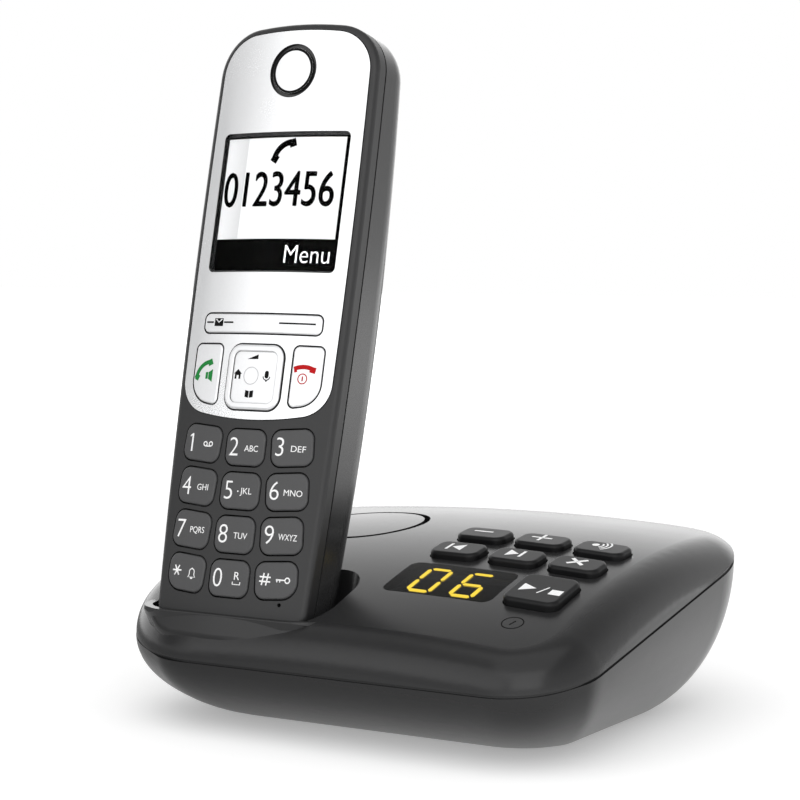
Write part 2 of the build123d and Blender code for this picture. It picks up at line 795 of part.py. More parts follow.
ear_outline = Pos(0, ear_y) * Circle(ear_outer)

panel = face_plate(panel_sketch, panel_proud, panel_thick)
panel = panel - prism(offset(lens_outline, seat), -10, 10) - prism(ear_outline, -10, 10)
for outline in (soft_outline, navigation_outline, talk_outline, end_outline):
    panel = panel - prism(offset(outline, digit_gap), -10, 10)
nodes["silver_panel"] = one(panel)
panel_floor = panel_thick - panel_proud + seat
front_shell = front_shell - face_hole(panel_outline(panel_gap), panel_floor)

nodes["display_window"] = face_plate(lens_outline, panel_proud, lens_thick)
front_shell = front_shell - face_hole(offset(lens_outline, seat), lens_thick - panel_proud + seat)
front_shell = front_shell - prism(screen_outline, -shell_split, 10)

# earpiece
front_shell = front_shell - face_hole(ear_outline, ear_depth)
front_shell = front_shell - prism(Pos(0, ear_y) * Circle(ear_inner / 2), -shell_split, 10)
ear_ring_outline = Pos(0, ear_y) * (Circle(ear_outer - seat) - Circle(ear_inner + seat))
nodes["earpiece_ring"] = face_plate(ear_ring_outline, -ear_ring_sink, ear_depth - ear_ring_sink - seat)
ear_cap = face_plate(Pos(0, ear_y) * Circle(ear_inner), panel_proud, ear_depth + panel_proud - seat)
nodes["earpiece_cap"] = one(ear_cap)
nodes["earpiece"] = one(disc(0, ear_y, receiver_radius, -board_top, -receiver_top))

# ================================================================ handset, keys of the panel
key_bottom = -(board_top - handset_mat - gap - digit_travel)
face_keys = {"talk_key": talk_outline, "end_key": end_outline}
for name, outline in face_keys.items():
    nodes[name] = face_key(outline, digit_collar, key_bottom, digit_collar_thick)
soft_key = face_key(soft_outline, 0, soft_floor, 0)
soft_collar = rounded_at(0, (soft_bottom + soft_top) / 2, soft_collar_width, soft_top - soft_bottom + 2 * digit_collar, 1)
nodes["softkey_rocker"] = one(soft_key + prism(soft_collar, soft_floor, soft_floor + digit_collar_thick))

nav_blank = prism(navigation_outline, key_bottom, crown / 8) & crown_solid(-navigation_proud)
nav_blank = fillet(one(nav_blank).faces().sort_by(Axis.Z)[-1].edges(), navigation_edge)
nav_dish = offset(navigation_outline, -navigation_rim)
nav_blank = one(nav_blank - face_hole(nav_dish, navigation_sink - navigation_proud))
nav_frame = nav_blank.faces().sort_by(Axis.Z)[-1]
nav_blank = fillet(nav_frame.inner_wires()[0].edges(), navigation_inner_edge)
nav_boss = prism(Pos(0, navigation_y) * Circle(navigation_boss), key_bottom, navigation_boss_top)
nav_blank = nav_blank + nav_boss
nav_collar = prism(offset(navigation_outline, digit_collar), key_bottom, key_bottom + digit_collar_thick)
nodes["navigation_key"] = one(nav_blank + nav_collar)
nodes["navigation_pad"] = one(
    disc(0, navigation_y, navigation_pad, key_bottom - gap - navigation_pad_thick, key_bottom - gap)
)

# ================================================================ handset, digit keys
digit_names = (
    ("key_1", "key_2", "key_3"),
    ("key_4", "key_5", "key_6"),
    ("key_7", "key_8", "key_9"),
    ("key_star", "key_0", "key_hash"),
)


def digit_blank(side):
    """A digit key's outline. The two outer keys of the last row are rounder at their outer foot."""
    if not side:
        return RectangleRounded(digit_width, digit_height, digit_corner)
    blank = Rectangle(digit_width, digit_height)
    foot, *others = blank.vertices().sort_by(lambda v: v.Y - side * v.X)
    blank = fillet(foot, digit_outer_corner)
    sharp = [v for v in blank.vertices() if any(abs(v.X - o.X) + abs(v.Y - o.Y) < seat for o in others)]
    return fillet(sharp, digit_corner)


for row, names in enumerate(digit_names):
    for column, name in enumerate(names):
        u = (column - 1) * digit_pitch_x
        v = digit_y + (1 - row) * digit_pitch_y + u**2 / (2 * digit_arc)
        turn = math.degrees(u / digit_arc)
        last_row = row == len(digit_names) - 1
        outline = Pos(u, v) * (Rot(0, 0, turn) * digit_blank((column - 1) * last_row))
        nodes[name] = face_key(outline, digit_collar, key_bottom, digit_collar_thick)
        front_shell = front_shell - prism(offset(outline, digit_gap), -shell_split, 10)
for outline in (soft_outline, navigation_outline, talk_outline, end_outline):
    front_shell = front_shell - prism(offset(outline, digit_gap), -shell_split, 10)

# ================================================================ handset, inside
board_sketch = handset_outline(board_margin)
circuit = prism(board_sketch, board_bottom, -board_top)
mat_sketch = handset_outline(board_margin) & (
    Pos(0, case_screw_y - 4 - case_screw_y / 2) * Rectangle(2 * middle_half, case_screw_y)
)
nodes["handset_key_mat"] = one(prism(mat_sketch, -board_top, -board_top + handset_mat))

lcd_outline = Pos(0, lens_middle) * Rectangle(lcd_size[0], lcd_size[1])
nodes["display_panel"] = one(prism(lcd_outline, -board_top, -lcd_top))

mic = disc(microphone_x, microphone_y, microphone_radius, -board_top + handset_mat, -microphone_top)
nodes["handset_microphone"] = one(mic)
front_shell = front_shell - disc(*microphone_port, microphone_hole, -shell_split, 10)

bay_box = Pos(0, bay_middle) * Rectangle(2 * bay_half, bay_length)
bay_walls = Pos(0, bay_middle) * Rectangle(2 * (bay_half + bay_wall), bay_length + 2 * bay_wall)
cover_mid = (cover_low + cover_high) / 2
cover_outline = rounded_at(0, cover_mid, 2 * cover_half, cover_high - cover_low, cover_corner)
deck_outline = offset(cover_outline, cover_lip)
inner_back = -2 * back_middle
deck = (prism(deck_outline, inner_back, -shell_split - 1) & handset_outer) - back_solid(cover_thick + gap + deck_thick)
tray = prism(bay_walls, inner_back, bay_floor_top) & handset_outer
back_shell = back_shell + one(deck) + one(tray)
for side in (-1, 1):
    x = side * case_screw_x
    boss = disc(x, case_screw_y, case_boss, inner_back, board_bottom - gap) & handset_outer
    back_shell = back_shell + one(boss)
    front_boss_blank = disc(x, case_screw_y, front_boss, board_bottom - gap, -face_wall)
    front_shell = front_shell + front_boss_blank
    front_shell = front_shell - disc(x, case_screw_y, case_shank + seat / 2, board_bottom - 1, -case_screw_end)
    circuit = circuit - disc(x, case_screw_y, front_boss + gap, -20, 0)
cover_room = prism(offset(cover_outline, gap), inner_back, -shell_split - 1) - back_solid(cover_thick + gap)
back_shell = back_shell - cover_room
back_shell = back_shell - prism(bay_box, inner_back, bay_floor_top - bay_wall)
nodes["handset_circuit_board"] = one(circuit)

case_screws = []
for side in (-1, 1):
    x = side * case_screw_x
    back_shell = back_shell - disc(x, case_screw_y, case_shank + gap / 2, -20, 0)
    back_shell = back_shell - disc(x, case_screw_y, case_head + gap / 2, inner_back, -case_seat)
    head = disc(x, case_screw_y, case_head, -case_seat - case_head_thick, -case_seat)
    head = head - (Pos(x, case_screw_y, -case_seat - case_head_thick) * Box(0.6, 2.2, 1.2))
    head = head - (Pos(x, case_screw_y, -case_seat - case_head_thick) * Box(2.2, 0.6, 1.2))
    shank = disc(x, case_screw_y, case_shank, -case_seat - 0.3, -case_screw_end)
    case_screws.append(one(head + shank))
nodes["handset_screws"] = joined([in_handset(s) for s in case_screws])

cover = (prism(cover_outline, inner_back, -shell_split) & handset_outer) - back_solid(cover_thick)
cover = one(cover)
for i in range(grip_count):
    y = cover_high - grip_from_top - i * grip_pitch
    ridge = prism(Pos(0, y) * Rectangle(grip_width, grip_pitch / 2), inner_back, -shell_split)
    cover = cover - (ridge - back_solid(grip_depth))
nodes["battery_cover"] = one(cover)

cells = []
contacts = []
for side in (-1, 1):
    x = side * cell_pitch / 2
    low = bay_middle - cell_length / 2
    place = Plane(origin=(x, low, -cell_depth), x_dir=(1, 0, 0), z_dir=(0, side, 0))
    if side < 0:
        place = Plane(origin=(x, low + cell_length, -cell_depth), x_dir=(1, 0, 0), z_dir=(0, -1, 0))
    cell = disc(0, 0, cell_radius, 0, cell_length - cell_nipple[1])
    cell = fillet(cell.edges(), 0.5)
    cell = cell + disc(0, 0, cell_nipple[0], cell_length - cell_nipple[1] - 0.5, cell_length)
    cells.append(in_handset(place.location * one(cell)))
    room = (bay_length - cell_length) / 2
    plate = Box(2 * cell_radius - 2, 2 * cell_radius - 2, contact_sheet)
    nub = disc(0, 0, cell_nipple[0], cell_length + contact_sheet, cell_length + room - contact_sheet)
    low_plate = Pos(0, 0, -room + contact_sheet / 2 + seat) * plate
    high_plate = Pos(0, 0, cell_length + room - contact_sheet / 2 - seat) * plate
    coil_tall = room - contact_sheet - 2 * seat
    coil = Pos(0, 0, -seat - coil_tall / 2) * Cone(spring_low, spring_high, coil_tall)
    contacts.append(in_handset(place.location * one(low_plate + coil)))
    contacts.append(in_handset(place.location * one(high_plate + nub)))
nodes["batteries"] = joined(cells)
nodes["battery_contacts"] = joined(contacts)

# ringer behind the slots of the back shell
arc_y, arc_z, arc_radius = circle_through(
    (0, -back_low), (bay_middle, -back_middle), (handset_length, -back_high)
)
tilt = math.asin((ringer_y - arc_y) / arc_radius)
inner_radius = arc_radius - case_wall - seat
ringer_place = Plane(
    origin=(0, arc_y + inner_radius * math.sin(tilt), arc_z - inner_radius * math.cos(tilt)),
    x_dir=(1, 0, 0),
    z_dir=(0, -math.sin(tilt), math.cos(tilt)),
)
ringer_sink = ringer_radius**2 / (2 * arc_radius)
nodes["ringer_loudspeaker"] = ringer_place.location * disc(
    0, 0, ringer_radius, ringer_sink, ringer_sink + ringer_depth
)
for i in range(slot_count):
    y = ringer_y + (i - (slot_count - 1) / 2) * slot_pitch
    slot = prism(rounded_at(0, y, slot_length, slot_width, slot_width / 2.05), inner_back, -shell_split - 4)
    back_shell = back_shell - slot

# charging plates in the foot
plates = []
for side in (-1, 1):
    blank = Pos(side * contact_x, -foot_plate_thick, contact_depth_z) * Box(
        contact_size[0], 2 * foot_plate_thick, contact_size[1]
    )
    room = Pos(side * contact_x, -foot_plate_thick, contact_depth_z) * Box(
        contact_size[0] + 2 * seat, 2 * foot_plate_thick + 2 * seat, contact_size[1] + 2 * seat
    )
    plates.append(in_handset(one(blank & handset_outer)))
    back_shell = back_shell - room
nodes["handset_charging_contacts"] = joined(plates)

# shadow line between the shells
band = prism(handset_outline(-3), -shell_split - handset_line_depth, -shell_split)
band = band - prism(handset_outline(handset_line), -2 * shell_split, 0)
back_shell = back_shell - band
nodes["handset_front_shell"] = one(front_shell)
nodes["handset_back_shell"] = one(back_shell)

# ================================================================ placing and export
upright_names = [n for n in nodes if n.startswith(("base_", "key_", "speaker_")) or n in (
    "message_display_window", "led_digit_module", "loudspeaker", "power_socket", "line_socket")]
digit_all = [name for names in digit_names for name in names]
placed = ("batteries", "battery_contacts", "handset_screws", "handset_charging_contacts")
for name in nodes:
    in_base = name in upright_names and name not in digit_all
    if not in_base and name not in placed:
        nodes[name] = in_handset(nodes[name])

for name, shape in nodes.items():
    shape.label = name
    export_step(shape, f"parts/{name}.step")
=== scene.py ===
import math
import bpy
import bmesh
from mathutils import Matrix, Vector
from mathutils.bvhtree import BVHTree


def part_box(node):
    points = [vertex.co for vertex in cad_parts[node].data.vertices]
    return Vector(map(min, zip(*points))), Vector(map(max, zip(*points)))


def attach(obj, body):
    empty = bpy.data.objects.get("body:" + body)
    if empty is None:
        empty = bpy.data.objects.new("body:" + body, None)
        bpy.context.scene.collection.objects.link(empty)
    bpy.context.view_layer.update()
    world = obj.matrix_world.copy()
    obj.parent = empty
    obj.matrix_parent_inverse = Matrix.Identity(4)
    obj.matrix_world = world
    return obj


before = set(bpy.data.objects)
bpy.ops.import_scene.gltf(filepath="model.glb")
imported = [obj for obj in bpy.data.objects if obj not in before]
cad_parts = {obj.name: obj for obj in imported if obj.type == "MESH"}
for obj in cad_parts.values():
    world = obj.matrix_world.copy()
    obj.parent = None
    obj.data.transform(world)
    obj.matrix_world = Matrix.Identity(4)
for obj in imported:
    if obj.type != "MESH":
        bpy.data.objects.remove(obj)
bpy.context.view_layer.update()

scene = bpy.context.scene
mm = 0.001
print("stage: frame loaded")


# camera

cameraSetup = {
    "place": (0.29509, -0.50143, 0.12006),
    "turn": (86.018, 0.0, 31.382),
    "lens": 102.2,
    "sensor": 36.0,
}


def makeCamera():
    data = bpy.data.cameras.new("camera")
    data.lens = cameraSetup["lens"]
    data.sensor_width = cameraSetup["sensor"]
    data.clip_start = 0.01
    camera = bpy.data.objects.new("camera", data)
    camera.location = cameraSetup["place"]
    camera.rotation_euler = [math.radians(a) for a in cameraSetup["turn"]]
    scene.collection.objects.link(camera)
    scene.camera = camera


makeCamera()
print("stage: camera")


# small tools for shader nodes

def addNode(tree, kind, **values):
    node = tree.nodes.new(kind)
    for name, value in values.items():
        setattr(node, name, value)
    return node


def setInputs(node, values):
    for name, value in values.items():
        node.inputs[name].default_value = value


def feed(tree, value, socket):
    if isinstance(value, bpy.types.NodeSocket):
        tree.links.new(value, socket)
    else:
        socket.default_value = value


def mathNode(tree, operation, first, second=None):
    node = addNode(tree, "ShaderNodeMath", operation=operation)
    feed(tree, first, node.inputs[0])
    if second is not None:
        feed(tree, second, node.inputs[1])
    return node.outputs[0]


def rangeNode(tree, value, start, end, low, high, smooth=True):
    node = addNode(tree, "ShaderNodeMapRange", interpolation_type="SMOOTHSTEP" if smooth else "LINEAR")
    given = {"Value": value, "From Min": start, "From Max": end, "To Min": low, "To Max": high}
    for name, source in given.items():
        feed(tree, source, node.inputs[name])
    return node.outputs[0]


def dotNode(tree, value, direction):
    node = addNode(tree, "ShaderNodeVectorMath", operation="DOT_PRODUCT")
    feed(tree, value, node.inputs[0])
    feed(tree, direction, node.inputs[1])
    return node.outputs["Value"]


def scaleNode(tree, colour, level):
    node = addNode(tree, "ShaderNodeVectorMath", operation="SCALE")
    feed(tree, colour, node.inputs[0])
    feed(tree, level, node.inputs["Scale"])
    return node.outputs[0]


def placeNode(tree, kind="Object"):
    return addNode(tree, "ShaderNodeTexCoord").outputs[kind]


def axisNode(tree, vector, axis):
    split = addNode(tree, "ShaderNodeSeparateXYZ")
    tree.links.new(vector, split.inputs[0])
    return split.outputs[axis]


def mixNode(tree, share, first, second):
    mix = addNode(tree, "ShaderNodeMix", data_type="RGBA")
    feed(tree, share, mix.inputs["Factor"])
    feed(tree, first, mix.inputs["A"])
    feed(tree, second, mix.inputs["B"])
    return mix.outputs["Result"]


def newGroup(name, inputs, outputs):
    group = bpy.data.node_groups.new(name, "ShaderNodeTree")
    for label, kind, value in inputs:
        socket = group.interface.new_socket(name=label, in_out="INPUT", socket_type=kind)
        socket.default_value = value
    for label, kind in outputs:
        group.interface.new_socket(name=label, in_out="OUTPUT", socket_type=kind)
    return group, group.nodes.new("NodeGroupInput"), group.nodes.new("NodeGroupOutput")


def noiseAt(tree, scale, detail, roughness=0.5):
    noise = addNode(tree, "ShaderNodeTexNoise")
    setInputs(noise, {"Detail": detail, "Roughness": roughness})
    tree.links.new(placeNode(tree), noise.inputs["Vector"])
    feed(tree, scale, noise.inputs["Scale"])
    return noise.outputs["Fac"]


# moulded grain: a fine even texture and its slow change from place to place

def buildGrainGroup():
    group, entry, leave = newGroup(
        "mouldedGrain",
        (("Grain Scale", "NodeSocketFloat", 3200.0), ("Patch Scale", "NodeSocketFloat", 45.0),
         ("Roughness", "NodeSocketFloat", 0.4), ("Roughness Change", "NodeSocketFloat", 0.08)),
        (("Height", "NodeSocketFloat"), ("Roughness", "NodeSocketFloat")),
    )
    fine = noiseAt(group, entry.outputs["Grain Scale"], detail=1.0)
    patch = noiseAt(group, entry.outputs["Patch Scale"], detail=2.0)
    fineShare = mathNode(group, "MULTIPLY", mathNode(group, "SUBTRACT", fine, 0.5), 0.6)
    change = mathNode(group, "ADD", mathNode(group, "SUBTRACT", patch, 0.5), fineShare)
    change = mathNode(group, "MULTIPLY", change, entry.outputs["Roughness Change"])
    rough = mathNode(group, "ADD", change, entry.outputs["Roughness"])
    group.links.new(fine, leave.inputs["Height"])
    group.links.new(rough, leave.inputs["Roughness"])
    return group


# tone: the colour drifts a little, and fine specks lie in it

def buildToneGroup():
    group, entry, leave = newGroup(
        "toneDrift",
        (("Colour", "NodeSocketColor", (0.5, 0.5, 0.5, 1.0)), ("Drift", "NodeSocketFloat", 0.08),
         ("Drift Scale", "NodeSocketFloat", 30.0), ("Speck", "NodeSocketFloat", 0.06),
         ("Speck Scale", "NodeSocketFloat", 1800.0)),
        (("Colour", "NodeSocketColor"),),
    )
    slow = noiseAt(group, entry.outputs["Drift Scale"], detail=2.0)
    fast = noiseAt(group, entry.outputs["Speck Scale"], detail=1.0)
    drift = mathNode(group, "MULTIPLY", mathNode(group, "SUBTRACT", slow, 0.5), entry.outputs["Drift"])
    speck = mathNode(group, "MULTIPLY", mathNode(group, "SUBTRACT", fast, 0.5), entry.outputs["Speck"])
    level = mathNode(group, "ADD", mathNode(group, "ADD", drift, speck), 1.0)
    group.links.new(scaleNode(group, entry.outputs["Colour"], level), leave.inputs["Colour"])
    return group


# dust: a thin pale film on faces that look up

dustLook = {"from": 0.3, "full": 0.95, "cloudScale": 140.0}


def buildDustGroup():
    group, entry, leave = newGroup(
        "restingDust",
        (("Colour", "NodeSocketColor", (0.5, 0.5, 0.5, 1.0)),
         ("Dust Colour", "NodeSocketColor", (0.5, 0.49, 0.47, 1.0)), ("Amount", "NodeSocketFloat", 0.03)),
        (("Colour", "NodeSocketColor"),),
    )
    normal = addNode(group, "ShaderNodeNewGeometry").outputs["Normal"]
    rise = axisNode(group, normal, "Z")
    upward = rangeNode(group, rise, dustLook["from"], dustLook["full"], 0.0, 1.0, smooth=False)
    cloud = noiseAt(group, dustLook["cloudScale"], detail=6.0, roughness=0.7)
    thick = mathNode(group, "MULTIPLY", upward, cloud)
    amount = mathNode(group, "MULTIPLY", thick, entry.outputs["Amount"])
    mixed = mixNode(group, amount, entry.outputs["Colour"], entry.outputs["Dust Colour"])
    group.links.new(mixed, leave.inputs["Colour"])
    return group


# walls: painted shade; faces that turn away from the handset's front are darkened, standing in for the shade in the
# gaps between lacquered pieces

def buildWallShadeGroup():
    group, entry, leave = newGroup(
        "paintedWallShade",
        (("Colour", "NodeSocketColor", (0.5, 0.5, 0.5, 1.0)), ("Direction", "NodeSocketVector", (0.0, -1.0, 0.0)),
         ("Low", "NodeSocketFloat", 0.25), ("High", "NodeSocketFloat", 0.62), ("Depth", "NodeSocketFloat", 0.95)),
        (("Colour", "NodeSocketColor"),),
    )
    normal = addNode(group, "ShaderNodeNewGeometry").outputs["True Normal"]
    front = dotNode(group, normal, entry.outputs["Direction"])
    share = rangeNode(group, front, entry.outputs["Low"], entry.outputs["High"], 0.0, 1.0, smooth=False)
    lost = mathNode(group, "MULTIPLY", mathNode(group, "SUBTRACT", 1.0, share), entry.outputs["Depth"])
    kept = mathNode(group, "SUBTRACT", 1.0, lost)
    group.links.new(scaleNode(group, entry.outputs["Colour"], kept), leave.inputs["Colour"])
    return group


grainGroup = buildGrainGroup()
toneGroup = buildToneGroup()
dustGroup = buildDustGroup()
wallShadeGroup = buildWallShadeGroup()


# one finish from a dictionary of values: grain and tone groups feed a Principled shader

plainLook = {
    "drift": 0.08, "driftScale": 30.0, "speck": 0.06, "grainScale": 3200.0, "grainDepth": 0.000008,
    "roughnessChange": 0.08, "metallic": 0.0, "ior": 1.5, "specular": 0.5,
}
shaderInputs = {
    "metallic": "Metallic", "ior": "IOR", "specular": "Specular IOR Level", "alpha": "Alpha",
    "transmission": "Transmission Weight", "sheen": "Sheen Weight", "glow": "Emission Strength",
}


def newFinish(name, values):
    look = {**plainLook, **values}
    material = bpy.data.materials.new(name)
    material.use_nodes = True
    tree = material.node_tree
    shader = tree.nodes["Principled BSDF"]
    tone = addNode(tree, "ShaderNodeGroup", node_tree=toneGroup)
    setInputs(tone, {
        "Colour": look["colour"] + (1.0,), "Drift": look["drift"], "Drift Scale": look["driftScale"],
        "Speck": look["speck"]})
    grain = addNode(tree, "ShaderNodeGroup", node_tree=grainGroup)
    setInputs(grain, {
        "Grain Scale": look["grainScale"], "Roughness": look["roughness"],
        "Roughness Change": look["roughnessChange"]})
    colour = tone.outputs["Colour"]
    for key, label, group in (("dust", "Amount", dustGroup), ("walls", "Direction", wallShadeGroup)):
        if key in look:
            layer = addNode(tree, "ShaderNodeGroup", node_tree=group)
            setInputs(layer, {label: look[key]})
            tree.links.new(colour, layer.inputs["Colour"])
            colour = layer.outputs["Colour"]
    bump = addNode(tree, "ShaderNodeBump")
    setInputs(bump, {"Strength": 1.0, "Distance": look["grainDepth"]})
    tree.links.new(grain.outputs["Height"], bump.inputs["Height"])
    tree.links.new(colour, shader.inputs["Base Color"])
    tree.links.new(grain.outputs["Roughness"], shader.inputs["Roughness"])
    tree.links.new(bump.outputs["Normal"], shader.inputs["Normal"])
    setInputs(shader, {label: look[key] for key, label in shaderInputs.items() if key in look})
    if "glow" in look:
        tree.links.new(tone.outputs["Colour"], shader.inputs["Emission Color"])
    return material


# finishes of the solids; grain depths are in metres, and scales count repeats per metre

satinShell = {"roughness": 0.25, "roughnessChange": 0.04, "grainDepth": 0.000003, "specular": 0.34}
# the lacquered finishes darken their side walls as painted shade
lacquer = {"grainScale": 5200.0, "grainDepth": 0.000002, "speck": 0.05, "drift": 0.02, "walls": (0.0, -0.975, 0.224)}
finishes = {
    "housing": {**satinShell, "colour": (0.0195, 0.0195, 0.0201), "dust": 0.008},
    # the lower shell is the housing's plastic made darker: painted shade
    "housingShadedLow": {**satinShell, "colour": (0.011, 0.011, 0.0114)},
    "baseKeys": {"colour": (0.007, 0.007, 0.0075), "roughness": 0.42, "grainDepth": 0.000003, "specular": 0.22},
    "smokedWindow": {"colour": (0.004, 0.004, 0.004), "roughness": 0.12, "grainDepth": 0.0000005,
                     "roughnessChange": 0.04, "alpha": 0.66, "specular": 0.04},
    "ledModule": {"colour": (0.004, 0.004, 0.004), "roughness": 0.8, "specular": 0.1},
    "speakerCap": {**satinShell, "colour": (0.0215, 0.0215, 0.0221), "dust": 0.008},
    "felt": {"colour": (0.008, 0.008, 0.008), "roughness": 0.95, "grainScale": 5200.0, "grainDepth": 0.00012,
             "speck": 0.5, "sheen": 0.3},
    "driver": {"colour": (0.03, 0.029, 0.027), "roughness": 0.75, "grainScale": 900.0, "grainDepth": 0.00004},
    "socketPlastic": {"colour": (0.018, 0.018, 0.019), "roughness": 0.45, "grainDepth": 0.000008},
    "siliconeMat": {"colour": (0.22, 0.22, 0.225), "roughness": 0.6, "grainScale": 1500.0},
    "rubberFeet": {"colour": (0.014, 0.014, 0.014), "roughness": 0.85, "grainScale": 1400.0, "grainDepth": 0.00004},
    "steelScrews": {"colour": (0.55, 0.54, 0.52), "roughness": 0.34, "metallic": 1.0, "grainScale": 2400.0},
    "nickel": {"colour": (0.72, 0.69, 0.62), "roughness": 0.2, "metallic": 1.0, "grainDepth": 0.000002},
    "handsetFront": {"colour": (0.022, 0.022, 0.0226), "roughness": 0.42, "grainDepth": 0.000006, "specular": 0.4},
    "handsetBack": {"colour": (0.028, 0.028, 0.0286), "roughness": 0.22, "grainDepth": 0.000004},
    "digitKeys": {"colour": (0.060, 0.060, 0.0615), "roughness": 0.5, "grainDepth": 0.000007},
    "silver": {**lacquer, "colour": (0.87, 0.875, 0.885), "roughness": 0.26, "metallic": 0.55},
    "silverKeys": {**lacquer, "colour": (0.86, 0.865, 0.875), "roughness": 0.32, "metallic": 0.5},
    "earRing": {"colour": (0.008, 0.008, 0.008), "roughness": 0.2, "grainDepth": 0.000001},
    "lensClear": {"colour": (0.98, 0.98, 0.985), "roughness": 0.02, "roughnessChange": 0.01, "drift": 0.01,
                  "speck": 0.01, "grainDepth": 0.0000002, "transmission": 1.0, "ior": 1.07},
    "lcdGlass": {"colour": (0.5, 0.52, 0.5), "roughness": 0.2, "grainDepth": 0.000001},
}
made = {name: newFinish(name, look) for name, look in finishes.items()}


# frames of the handset's face and of the domed base, in millimetres and degrees

handsetSpot = {"origin": (-27.15, -56.55, 23.97), "lean": 12.92, "crown": 155.0}
domeSpot = {"crest": 46.7, "crestY": 30.7, "along": 217.0, "across": 704.0}
handsetLean = math.radians(handsetSpot["lean"])
handsetUp = Vector((0, math.sin(handsetLean), math.cos(handsetLean)))


def handsetMatrix():
    right = Vector((1, 0, 0))
    turn = Matrix((right, handsetUp, right.cross(handsetUp))).transposed().to_4x4()
    return Matrix.Translation(Vector(handsetSpot["origin"]) * mm) @ turn


def domeMatrix(x, y):
    along, across = domeSpot["along"], domeSpot["across"]
    back = y - domeSpot["crestY"]
    out = Vector((x / across, back / along, 1)).normalized()
    right = Vector((1, 0, -x / across)).normalized()
    height = domeSpot["crest"] - back ** 2 / (2 * along) - x ** 2 / (2 * across)
    turn = Matrix((right, out.cross(right), out)).transposed().to_4x4()
    return Matrix.Translation(Vector((x, y, height)) * mm) @ turn


onHandset = handsetMatrix()


# circuit board: solder mask with fine copper runs under it

boardLook = {"mask": (0.010, 0.085, 0.035), "run": (0.022, 0.16, 0.06), "pitch": 420.0, "runWidth": 0.08}


def circuitFinish():
    material = newFinish("circuitBoard", {"colour": boardLook["mask"], "roughness": 0.32})
    tree = material.node_tree
    shader = tree.nodes["Principled BSDF"]
    mask = boardLook["mask"] + (1.0,)
    runs = addNode(tree, "ShaderNodeTexBrick", offset=0.5, squash=0.6, squash_frequency=3)
    setInputs(runs, {
        "Color1": mask, "Color2": mask, "Mortar": boardLook["run"] + (1.0,), "Scale": boardLook["pitch"],
        "Mortar Size": boardLook["runWidth"]})
    tree.links.new(placeNode(tree), runs.inputs["Vector"])
    tree.links.new(runs.outputs["Color"], shader.inputs["Base Color"])
    return material


# cells: a printed sleeve between two bare steel ends, by the place along the cell, in metres

cellLook = {"sleeve": (0.05, 0.22, 0.10), "steel": (0.62, 0.61, 0.58), "halfLength": 0.02225, "shoulder": 0.0016}


def cellFinish():
    material = newFinish("cellSleeve", {"colour": cellLook["sleeve"], "roughness": 0.28})
    tree = material.node_tree
    shader = tree.nodes["Principled BSDF"]
    low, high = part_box("batteries")
    middle = Vector((0, (low[1] + high[1]) / 2, (low[2] + high[2]) / 2)).dot(handsetUp)
    along = dotNode(tree, placeNode(tree), handsetUp)
    away = mathNode(tree, "ABSOLUTE", mathNode(tree, "SUBTRACT", along, middle))
    bare = mathNode(tree, "GREATER_THAN", away, cellLook["halfLength"] - cellLook["shoulder"])
    mixed = mixNode(tree, bare, cellLook["sleeve"] + (1.0,), cellLook["steel"] + (1.0,))
    tree.links.new(mixed, shader.inputs["Base Color"])
    tree.links.new(bare, shader.inputs["Metallic"])
    return material


made["circuitBoard"] = circuitFinish()
made["cellSleeve"] = cellFinish()

nodeFinish = {
    "base_upper_shell": "housing", "base_lower_shell": "housingShadedLow", "base_feet": "rubberFeet",
    "base_screws": "steelScrews", "base_main_board": "circuitBoard", "base_key_board": "circuitBoard",
    "base_key_mat": "siliconeMat", "message_display_window": "smokedWindow", "led_digit_module": "ledModule",
    "speaker_cap": "speakerCap", "speaker_mesh": "felt", "loudspeaker": "driver",
    "base_charging_contacts": "nickel", "power_socket": "socketPlastic", "line_socket": "socketPlastic",
    "handset_front_shell": "handsetFront", "handset_back_shell": "handsetBack", "battery_cover": "handsetBack",
    "silver_panel": "silver", "earpiece_cap": "silver", "earpiece_ring": "earRing",
    "talk_key": "silverKeys", "end_key": "silverKeys", "softkey_rocker": "silverKeys",
    "navigation_key": "silverKeys", "display_window": "lensClear", "display_panel": "lcdGlass",
    "earpiece": "driver", "handset_microphone": "driver", "ringer_loudspeaker": "driver",
    "handset_circuit_board": "circuitBoard", "handset_key_mat": "siliconeMat", "navigation_pad": "siliconeMat",
    "batteries": "cellSleeve", "battery_contacts": "nickel", "handset_screws": "steelScrews",
    "handset_charging_contacts": "nickel",
}
for key in ("minus", "plus", "paging", "previous", "next", "delete", "play_stop"):
    nodeFinish["key_" + key] = "baseKeys"
for key in ("1", "2", "3", "4", "5", "6", "7", "8", "9", "star", "0", "hash"):
    nodeFinish["key_" + key] = "digitKeys"
for name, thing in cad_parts.items():
    material = made[nodeFinish[name]]
    if not thing.data.materials:
        thing.data.materials.append(material)
    for place in thing.material_slots:
        place.material = material
print("stage: finishes on", len(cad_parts), "solids")


# prints: flat shapes in millimetres about their own middle, laid onto a solid by rays

printLook = {
    "thick": 0.03, "proud": 0.03, "edge": 1.3, "cuts": 4, "reach": 20.0, "textDepth": 0.01, "textSteps": 4,
    "weld": 0.0001,
}
inks = {
    # the white ink glows a little: painted light on the print
    "whiteInk": {"colour": (0.86, 0.86, 0.86), "roughness": 0.5, "grainDepth": 0.000003, "glow": 0.10},
    "blackInk": {"colour": (0.003, 0.003, 0.003), "roughness": 0.6, "grainDepth": 0.000003, "specular": 0.12},
    "greenInk": {"colour": (0.016, 0.22, 0.045), "roughness": 0.6, "grainDepth": 0.000003, "specular": 0.12},
    "redInk": {"colour": (0.52, 0.007, 0.009), "roughness": 0.6, "grainDepth": 0.000003, "specular": 0.12},
    "greyInk": {"colour": (0.52, 0.52, 0.53), "roughness": 0.4, "grainDepth": 0.000003},
}
made.update({name: newFinish(name, look) for name, look in inks.items()})
trees = {}


